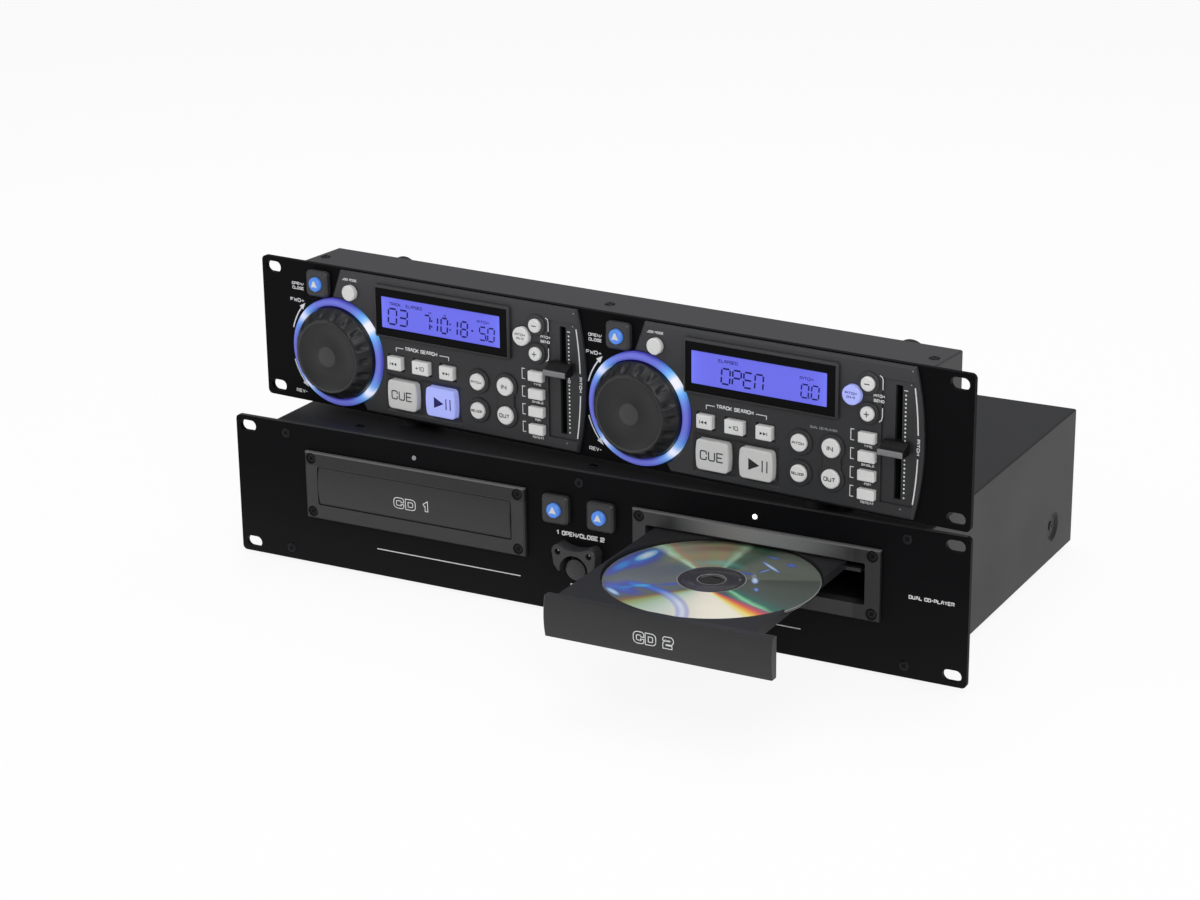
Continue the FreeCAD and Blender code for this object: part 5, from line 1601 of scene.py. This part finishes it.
@dataclass
class DisplayModule:
    """One deck's display: frame, lit window and the segments that it shows.

    A segment's thickness is a share of a digit's height. A digit steps on by a share of its width, and
    a point or colon by a share of a segment's thickness.
    """

    deck: int
    jog_x: float
    numbers: Sequence[Digits]
    words: Sequence[Words]
    front: float = -4.8
    sunk: float = 1.0
    window: tuple[float, float, float, float] = (78.6, 67.4, 86.2, 19.4)
    frame: tuple[float, float, float, float] = (79.8, 67.8, 94.6, 28.6)
    thick: float = 0.115
    slant: float = 0.06
    digit_step: float = 1.32
    point_step: float = 2.6

    SEGMENTS = {
        "0": "abcdef",
        "1": "bc",
        "3": "abgcd",
        "5": "afgcd",
        "7": "abc",
        "8": "abcdefg",
        "O": "abcdef",
        "P": "abefg",
        "E": "adefg",
        "N": "abcef",
        "-": "g",
    }

    def build(self) -> bpy.types.Object:
        """Build the frame, the window and its segments.

        Returns:
            The frame's piece.
        """
        place = CONTROL.matrix(self.jog_x)
        left, low, wide, tall = self.window
        form = Form()
        self._border(form, rounded(*self.frame, 0.6), rounded(*self.window, 0.5))
        frame = form.finish(f"display_frame_{self.deck}", "control_unit", place, "display")
        glow = Form()
        glow.prism(rounded(0.0, 0.0, wide + 0.4, tall + 0.4, 0.5), 0.0, 0.8, Look.WINDOW)
        middle = CONTROL.matrix(self.jog_x + left, self.front + self.sunk, low)
        glow.finish(f"display_window_{self.deck}", "control_unit", middle, "display")
        self._segments(place)
        return frame

    def _border(self, form: Form, outer: Sequence[Point], inner: Sequence[Point]) -> None:
        """Join the frame's outline to the window's over a bevelled lip.

        Args:
            form: The form that takes it.
            outer: The frame's outline.
            inner: The window's outline.
        """
        x, z = self.window[:2]
        lip = [(x + (px - x) * 1.012, z + (pz - z) * 1.05) for px, pz in inner]
        rows = (
            (outer, 0.0),
            (outer, self.front),
            (lip, self.front),
            (inner, self.front + self.sunk * 0.5),
            (inner, self.front + self.sunk + 0.3),
        )
        loops = [[form.mesh.verts.new((px, depth, pz)) for px, pz in line] for line, depth in rows]
        for first, second in zip(loops, loops[1:]):
            form.skin(first, second, Look.FRAME, len(first))
        for face in form.mesh.faces:
            face.smooth = False

    def _segments(self, place: Matrix) -> None:
        """Draw the numbers and the small words on the window.

        Args:
            place: Matrix from the unit's millimetres to the whole part.
        """
        form = Form()
        depth = self.front + self.sunk - 0.03
        for run in self.numbers:
            left = run.left
            for letter in run.letters:
                left += self._digit(form, letter, left, run, depth)
        small = Lettering(Look.SEGMENT, weight=0.17)
        for words, at, size in self.words:
            small.write(form, words, at, size, depth, Anchor.LEFT)
        form.finish(f"display_digits_{self.deck}", "control_unit", place)

    def _digit(self, form: Form, letter: str, left: float, run: Digits, depth: float) -> float:
        """Draw one slanted digit of bars.

        Args:
            form: The form that takes it.
            letter: What it shows.
            left: Its left edge.
            run: The run that it belongs to.
            depth: Depth of its face.

        Returns:
            How far the next digit stands to the right.
        """
        low, tall, bar = run.low, run.tall, run.tall * self.thick
        if letter in ":.":
            for share in (0.24, 0.62) if letter == ":" else (0.0,):
                up = tall * share
                form.bar(left + self.slant * up, low + up + bar / 2, bar, bar, depth, Look.SEGMENT)
            return bar * self.point_step
        gap, right = bar * 0.6, left + run.wide
        middle, top = low + tall / 2, low + tall
        ends = {
            "a": ((left + gap, top), (right - gap, top)),
            "g": ((left + gap, middle), (right - gap, middle)),
            "d": ((left + gap, low), (right - gap, low)),
            "f": ((left, top - gap), (left, middle + gap)),
            "e": ((left, middle - gap), (left, low + gap)),
            "b": ((right, top - gap), (right, middle + gap)),
            "c": ((right, middle - gap), (right, low + gap)),
        }
        for name in self.SEGMENTS[letter]:
            leaning = [(x + self.slant * (z - low), z) for x, z in ends[name]]
            form.line(leaning, bar, depth, Look.SEGMENT)
        return run.wide * self.digit_step


@dataclass
class JogWheel:
    """One jog wheel: a cap with finger flutes and a grooved face, drawn about its own axis."""

    deck: int
    jog_x: float
    jog_z: float = 35.8
    front: float = -14.2
    foot: float = -1.0
    face: float = 23.0
    outer: float = 28.7
    flutes: int = 18
    flute_depth: float = 1.15
    shoulder: float = 0.62
    steps: int = 216
    rows: int = 18

    def build(self) -> None:
        """Build the cap with its flutes and stand it for the CAD wheel."""
        form, front, face = Form(), self.front, self.face
        profile = [
            (front + 0.42, 0.0),
            (front + 0.42, 6.3),
            (front + 0.62, 6.6),
            (front + 0.62, face - 1.5),
            (front + 0.05, face - 1.1),
            (front, face - 0.8),
            (front + 0.05, face - 0.5),
        ]
        # the lip round the face's edge takes the spot's paler finish as a painted highlight
        spot = Look.JOG_SPOT_AND_LIP_HIGHLIGHT
        form.revolve(profile, [spot, Look.JOG, Look.JOG_FACE, spot, spot, Look.JOG], self.steps)
        self._rim(form)
        place = CONTROL.matrix(self.jog_x, 0.0, self.jog_z)
        piece = form.finish(f"jog_cap_{self.deck}", f"jog_wheel_{self.deck}", place, "jog_black")
        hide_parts(f"jog_wheel_{self.deck}")

    def _rim(self, form: Form) -> None:
        """Sweep the rim's profile round, pressing it in at each flute.

        Args:
            form: The form that takes it.
        """
        start, inner = self.front + 0.05, self.face - 0.5
        loops = []
        for row in range(self.rows + 1):
            share = row / self.rows
            slope = min(share / self.shoulder, 1.0)
            depth = start + share * (self.foot - start)
            radius = inner + (self.outer - inner) * slope**0.8
            bowl = self.flute_depth * math.sin(math.pi * slope) ** 1.4
            loop = []
            for step in range(self.steps):
                turn = 2 * math.pi * step / self.steps
                press = bowl * max(math.cos(turn * self.flutes), 0.0) ** 0.7
                reach = radius - press
                spot = reach * math.cos(turn), depth + press * 0.35, reach * math.sin(turn)
                loop.append(form.mesh.verts.new(spot))
            loops.append(loop)
        for first, second in zip(loops, loops[1:]):
            form.skin(first, second, Look.JOG, self.steps)
        form.mesh.faces.new(loops[-1]).material_index = form.slot(Look.JOG)


@dataclass
class LightRing:
    """Lit ring round one jog wheel, drawn about the wheel's axis."""

    deck: int
    jog_x: float
    jog_z: float = 35.8
    inner: float = 29.4
    outer: float = 33.7
    front: float = -5.0

    def build(self) -> bpy.types.Object:
        """Turn the ring's domed profile.

        Returns:
            The ring's piece.
        """
        form, inner, outer = Form(), self.inner, self.outer
        profile = [
            (0.0, inner),
            (-3.6, inner),
            (-4.0, inner + 0.2),
            (-4.7, inner + 0.8),
            (self.front, inner + 1.5),
            (self.front, outer - 2.1),
            (-4.6, outer - 1.2),
            (-3.8, outer - 0.4),
            (-3.0, outer),
            (0.0, outer),
        ]
        form.revolve(profile, Look.RING, 144)
        place = CONTROL.matrix(self.jog_x, 0.0, self.jog_z)
        return form.finish(f"ring_glow_{self.deck}", "control_unit", place, "ring_blue")


@dataclass
class DeckPrinting:
    """Printed legends of one deck, and the marks on its keys; x counts from the jog wheel's axis."""

    deck: int
    jog_x: float
    jog_z: float = 35.8
    face: float = -3.0 - PRINT
    recess: float = -2.0 - PRINT
    key_front: float = -6.0 - PRINT
    eject: tuple[float, float, float] = (-14.0, 77.2, -5.9)
    arrow_radius: float = 37.4
    mode_top: float = 44.6
    mode_pitch: float = 10.85
    scale_x: float = 168.5
    dot_pitch: float = 2.33
    plate_pins: tuple[Point, ...] = ((172.7, 86.0), (172.1, 78.2), (167.0, 6.7))

    FASCIA_WORDS: ClassVar[tuple[Words, ...]] = (
        ("TRACK SEARCH", (63.2, 46.2), (2.3, 24.0)),
        ("JOG MODE", (11.3, 83.3), (1.5, 11.0)),
        ("PITCH", (152.9, 69.0), (1.7, 6.8)),
        ("BEND", (152.9, 66.2), (1.7, 6.4)),
    )
    PANEL_WORDS: ClassVar[tuple[Words, ...]] = (
        ("OPEN/", (-31.0, 74.4), (1.9, 9.4)),
        ("CLOSE", (-31.0, 71.6), (1.9, 9.0)),
        ("FWD+", (-32.0, 63.9), (2.3, 10.8)),
        ("REV-", (-31.6, 5.6), (2.3, 8.6)),
    )
    KEY_WORDS: ClassVar[tuple[tuple[str, tuple[Words, ...]], ...]] = (
        ("cue_button", (("CUE", (50.0, 17.1), (5.8, 15.4)),)),
        ("pitch_on_button", (("PITCH", (105.1, 34.7), (1.6, 7.6)),)),
        ("reloop_button", (("RELOOP", (105.1, 16.9), (1.6, 8.2)),)),
        ("in_button", (("IN", (125.0, 35.0), (2.7, 3.9)),)),
        ("out_button", (("OUT", (125.0, 17.2), (2.5, 7.4)),)),
        (
            "pitch_mode_button",
            (("PITCH", (137.2, 68.9), (1.5, 7.0)), ("ON-0", (137.2, 66.6), (1.4, 5.2))),
        ),
    )

    def build(self) -> None:
        """Print the fascia, the panel beside the ring and the keys."""
        self._fascia()
        self._panel()
        self._key_words()
        self._search_marks()
        self._play_mark()
        self._bend_marks()
        mark = Form()
        eject_arrow(mark, *self.eject)
        self._finish(mark, "eject_button_mark", "eject_button")

    def _finish(self, form: Form, name: str, key: str) -> None:
        """Turn a form into this deck's piece that rides on one of its keys.

        Args:
            form: The form.
            name: The piece's name without the deck.
            key: The key's name without the deck.
        """
        form.finish(f"{name}_{self.deck}", f"{key}_{self.deck}", CONTROL.matrix(self.jog_x))

    def _fascia(self) -> None:
        """Print the words, brackets and scale on the fascia."""
        form, depth, ink = Form(), self.face, Look.WHITE_INK
        bold = Lettering(ink, weight=0.21)
        for words, at, size in self.FASCIA_WORDS:
            bold.write(form, words, at, size, depth)
        for leg, end in ((44.8, 50.2), (83.5, 76.8)):
            form.line([(leg, 43.6), (leg, 45.9), (end, 45.9)], 0.45, depth, ink)
        form.line([(153.2, 80.6), (154.6, 79.8), (155.1, 78.6), (155.1, 72.6)], 0.55, depth, ink)
        form.line([(155.1, 62.5), (155.1, 57.6), (154.6, 55.4), (153.2, 54.4)], 0.55, depth, ink)
        for index, words in enumerate(("TIME", "SINGLE", "PGM", "REPEAT")):
            z = self.mode_top - self.mode_pitch * index
            bold.write(form, words, (146.9, z - 5.3), (1.4, 1.35 * len(words)), depth)
            high, low = z + 3.1, z - 3.1
            form.line([(138.3, high), (136.2, high), (136.2, low), (138.3, low)], 0.45, depth, ink)
        if self.deck == 2:
            grey = Lettering(Look.GREY_INK, weight=0.22)
            grey.write(form, "DUAL CD-PLAYER", (119.4, 44.7), (1.4, 16.8), depth)
        self._scale(form, ink)
        form.finish(f"deck_legends_{self.deck}", "control_unit", CONTROL.matrix(self.jog_x))

    def _scale(self, form: Form, ink: Finish) -> None:
        """Print the fader's scale, the bowed line beside it and the plate's pins.

        Args:
            form: The form that takes it.
            ink: Ink of the scale.
        """
        x, depth = self.scale_x, self.recess
        for high in (71.6, 41.8):
            for step in range(12):
                form.flat(circle(x, high - step * self.dot_pitch, 0.55, 10), depth, ink)
        small = Lettering(ink, weight=0.24)
        for words, z in (("0", 44.3), ("+", 13.2)):
            small.write(form, words, (x, z), (1.9, 1.7), depth)
        form.bar(x, 74.2, 2.2, 0.5, depth, ink)
        for start, end in ((76.9, 50.6), (37.2, 10.8)):
            levels = [start + (end - start) * step / 8 for step in range(9)]
            bowed = [(176.9 - ((level - 43.8) / 33.2) ** 2 * 2.6, level) for level in levels]
            form.line(bowed, 0.75, self.face, ink)
        small.write(form, "PITCH", (177.0, 43.9), (1.9, 9.2), self.face, turn=-90)
        for pin in self.plate_pins:
            form.flat(circle(*pin, 0.45, 12), self.face, Look.GREY_INK)

    def _panel(self) -> None:
        """Print the words and curved arrows beside the ring."""
        form, depth, ink = Form(), -PRINT, Look.WHITE_INK
        bold = Lettering(ink, weight=0.21)
        for words, at, size in self.PANEL_WORDS:
            bold.write(form, words, at, size, depth)
        for flip in (1, -1):
            end = flip * 141.0
            form.line(arc(0.0, self.jog_z, self.arrow_radius, flip * 164.0, end), 0.85, depth, ink)
            tip = arc(0.0, self.jog_z, self.arrow_radius, end - flip * 7.0, end, 1)[0]
            root = [arc(0.0, self.jog_z, radius, end, end, 1)[0] for radius in (39.2, 35.8)]
            form.flat([tip, *root], depth, ink)
        form.finish(f"panel_legends_{self.deck}", "control_unit", CONTROL.matrix(self.jog_x))

    def _key_words(self) -> None:
        """Print what the lettered keys say; the marks ride on their keys."""
        for name, lines in self.KEY_WORDS:
            lit = (name, self.deck) == ("pitch_mode_button", 2)
            weight = 0.13 if name == "cue_button" else 0.2
            letters = Lettering(Look.BLUE_INK if lit else Look.DARK_INK, weight=weight)
            form = Form()
            for words, at, size in lines:
                letters.write(form, words, at, size, self.key_front)
            self._finish(form, f"{name}_mark", name)

    def _search_marks(self) -> None:
        """Draw the double arrows with their bars, and the +10 between them."""
        form, ink, depth = Form(), Look.DARK_INK, self.key_front
        for side, centre in ((-1, 44.7), (1, 82.9)):
            for shift in (-1.1, 1.1):
                x = centre + shift - side * 0.9
                form.flat([(x, 37.4), (x, 35.4), (x + side * 1.9, 36.4)], depth, ink)
            form.bar(centre + side * 2.6, 36.4, 0.4, 2.0, depth, ink)
        Lettering(ink, weight=0.16).write(form, "+10", (63.9, 36.4), (2.6, 6.4), depth)
        self._finish(form, "search_key_marks", "search_keys")

    def _play_mark(self) -> None:
        """Draw the triangle and two bars of the play key."""
        form, depth = Form(), self.key_front
        ink = Look.BLUE_INK if self.deck == 1 else Look.DARK_INK
        form.flat([(73.8, 13.6), (73.8, 20.6), (80.9, 17.1)], depth, ink)
        for x in (82.7, 85.7):
            form.bar(x, 17.1, 0.75, 6.8, depth, ink)
        self._finish(form, "play_button_mark", "play_button")

    def _bend_marks(self) -> None:
        """Draw the minus and plus of the bend keys."""
        x, ink, depth = 146.9, Look.DARK_INK, self.key_front
        for name, z, plus in (("bend_down_button", 75.4, False), ("bend_up_button", 58.4, True)):
            form = Form()
            form.bar(x, z, 3.2, 0.55, depth, ink)
            for side in (-1, 1) if plus else ():
                form.bar(x, z + side * 0.94, 0.55, 1.33, depth, ink)
            self._finish(form, f"{name}_mark", name)


@dataclass
class ControlUnit:
    """The control unit's two decks and the screws on its housing."""

    jog_places: Point = (-182.9, 33.5)
    screw_row: tuple[float, float, float] = (207.4, 20.0, 87.5)
    first_numbers: tuple[Digits, ...] = (
        Digits("03", 40.2, 60.6, 6.0, 9.6),
        Digits("7", 66.4, 60.6, 4.4, 9.2),
        Digits(":", 72.2, 60.6, 4.4, 9.2),
        Digits("1", 72.2, 60.6, 4.2, 9.2),
        Digits("0", 79.0, 60.6, 4.6, 9.2),
        Digits(":", 85.6, 60.6, 4.4, 9.2),
        Digits("1", 86.6, 60.6, 4.2, 9.2),
        Digits("8", 93.4, 60.6, 4.6, 9.2),
        Digits("-", 100.2, 60.6, 2.8, 9.2),
        Digits("50", 106.8, 60.6, 4.5, 8.0),
        Digits(".", 111.9, 60.4, 4.2, 7.2),
    )
    first_words: tuple[Words, ...] = (
        ("TRACK", (41.2, 73.2), (1.9, 8.6)),
        ("ELAPSED", (53.6, 73.2), (1.9, 12.0)),
        ("M", (70.4, 71.4), (1.6, 1.8)),
        ("S", (81.4, 71.4), (1.6, 1.6)),
        ("PITCH", (105.4, 71.6), (1.8, 8.2)),
    )
    second_numbers: tuple[Digits, ...] = (
        Digits("OPE", 54.8, 60.4, 5.4, 8.9),
        Digits("N", 76.2, 60.4, 5.2, 8.9),
        Digits("0", 105.4, 60.8, 4.5, 7.6),
        Digits("0", 111.8, 60.8, 4.5, 7.6),
        Digits(".", 110.5, 60.6, 4.2, 7.2),
    )
    second_words: tuple[Words, ...] = (
        ("ELAPSED", (53.0, 73.4), (1.9, 12.4)),
        ("PITCH", (104.6, 71.8), (1.8, 8.4)),
    )

    def build(self) -> None:
        """Build both decks; their pieces stand for the CAD displays, rings, jog wheels and screws."""
        first, second = self.jog_places
        frame = DisplayModule(1, first, self.first_numbers, self.first_words).build()
        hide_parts("displays")
        DisplayModule(2, second, self.second_numbers, self.second_words).build()
        for deck, place in enumerate(self.jog_places, 1):
            JogWheel(deck, place).build()
            ring = LightRing(deck, place).build()
            if deck == 1:
                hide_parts("light_rings")
            DeckPrinting(deck, place).build()
        self._screws()

    def _screws(self) -> None:
        """Draw the three screw heads along the housing's top."""
        form = Form()
        reach, depth, high = self.screw_row
        for x in (-reach, 0.0, reach):
            Screw().draw(form, (x, depth, high), Facing.UP)
        piece = form.finish("control_screw_heads", "control_unit", CONTROL.matrix())
        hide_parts("control_screws")


@dataclass(frozen=True)
class SoftBox:
    """A square area lamp: where it hangs, its width in metres and its power in watts."""

    name: str
    place: tuple[float, float, float]
    width: float
    power: float


@dataclass
class Studio:
    """Floor, lights, world and camera."""

    floor_level: float = -0.04685
    size: float = 9.0
    floor_white: float = 0.9
    room: float = 0.341
    aim: tuple[float, float, float] = (0.0, 0.05, 0.05)
    lamps: tuple[SoftBox, ...] = (
        SoftBox("key_softbox", (1.5, -1.5, 1.7), 1.5, 24.0),
        SoftBox("fill_softbox", (-1.9, -1.6, 1.3), 1.6, 15.0),
        SoftBox("top_softbox", (0.0, 0.5, 2.1), 1.7, 22.0),
    )
    azimuth: float = 28.608
    elevation: float = 18.955
    roll: float = -0.697
    lens: float = 84.533
    eye: tuple[float, float, float] = (0.74617, -1.34546, 0.58502)

    def build(self) -> None:
        """Build the studio."""
        self._floor()
        self._hang_lamps()
        self._world()
        self._camera()

    def _floor(self) -> None:
        """Lay a white floor that keeps the shadow."""
        mesh = bpy.data.meshes.new("floor")
        half, z = self.size / 2, self.floor_level
        corners = [(-half, -half, z), (half, -half, z), (half, half, z), (-half, half, z)]
        mesh.from_pydata(corners, [], [(0, 1, 2, 3)])
        floor = bpy.data.objects.new("floor", mesh)
        bpy.context.scene.collection.objects.link(floor)
        shader = Shader("floor_paper")
        shader.feed(Base_Color=(0.95, 0.95, 0.95, 1.0), Roughness=0.9, Specular_IOR_Level=0.0)
        rays = ("Is Camera Ray", "Is Glossy Ray", "Is Transmission Ray")
        seen = reduce(add, [shader.node("ShaderNodeLightPath", output=ray) for ray in rays])
        glow = shader.node("ShaderNodeEmission", None, {"Color": WHITE, "Strength": 1.0})
        paper = Wire(shader, shader.body.outputs[0])
        inputs = {0: seen.clamped() * self.floor_white, 1: paper, 2: glow}
        shader.show(shader.node("ShaderNodeMixShader", None, inputs), "Material Output")
        mesh.materials.append(shader.material)

    def _hang_lamps(self) -> None:
        """Hang the soft boxes."""
        for box in self.lamps:
            data = bpy.data.lights.new(box.name, "AREA")
            data.energy, data.size = box.power, box.width
            lamp = bpy.data.objects.new(box.name, data)
            bpy.context.scene.collection.objects.link(lamp)
            lamp.location = box.place
            lamp.rotation_mode = "QUATERNION"
            towards = Vector(self.aim) - Vector(box.place)
            lamp.rotation_quaternion = towards.to_track_quat("-Z", "Y")

    def _world(self) -> None:
        """Light the room evenly; the camera sees white."""
        world = bpy.data.worlds.new("room")
        bpy.context.scene.world = world
        world.use_nodes = True
        tree = Tree(world.node_tree)
        tint = {"Color": (0.97, 0.98, 1.0, 1.0), "Strength": self.room}
        room = tree.node("ShaderNodeBackground", None, tint)
        white = tree.node("ShaderNodeBackground", None, {"Color": WHITE, "Strength": 1.0})
        seen = tree.node("ShaderNodeLightPath", output="Is Camera Ray")
        mixed = tree.node("ShaderNodeMixShader", None, {0: seen, 1: room, 2: white})
        tree.show(mixed, "World Output")

    def _camera(self) -> None:
        """Set the camera at three-quarters from the right, a little above."""
        azimuth, elevation = math.radians(self.azimuth), math.radians(self.elevation)
        roll, flat = math.radians(self.roll), math.cos(elevation)
        right = Vector((math.cos(azimuth), math.sin(azimuth), 0.0))
        back = Vector((math.sin(azimuth) * flat, -math.cos(azimuth) * flat, math.sin(elevation)))
        level = right * math.cos(roll) + back.cross(right) * math.sin(roll)
        data = bpy.data.cameras.new("camera")
        data.sensor_width, data.lens = 36.0, self.lens
        data.clip_start, data.clip_end = 0.01, 50.0
        camera = bpy.data.objects.new("camera", data)
        bpy.context.scene.collection.objects.link(camera)
        turn = Matrix((level, back.cross(level), back)).transposed()
        camera.matrix_world = Matrix.Translation(self.eye) @ turn.to_4x4()
        bpy.context.scene.camera = camera


def main() -> None:
    """Load the frame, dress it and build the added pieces."""
    logging.basicConfig(level=logging.INFO, format="%(message)s")
    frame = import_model()
    CarriedFinishes().dress(frame["nodes"])
    DriveFront().build()
    TrayDoorLabel(1, -112.7, DOOR_FRONT).build()
    TrayDoorLabel(2, 112.7, DOOR_FRONT - TRAY_TRAVEL).build()
    Disc().build()
    ControlUnit().build()
    Studio().build()
    bpy.context.scene.view_settings.view_transform = "Standard"


if __name__ == "__main__":
    main()
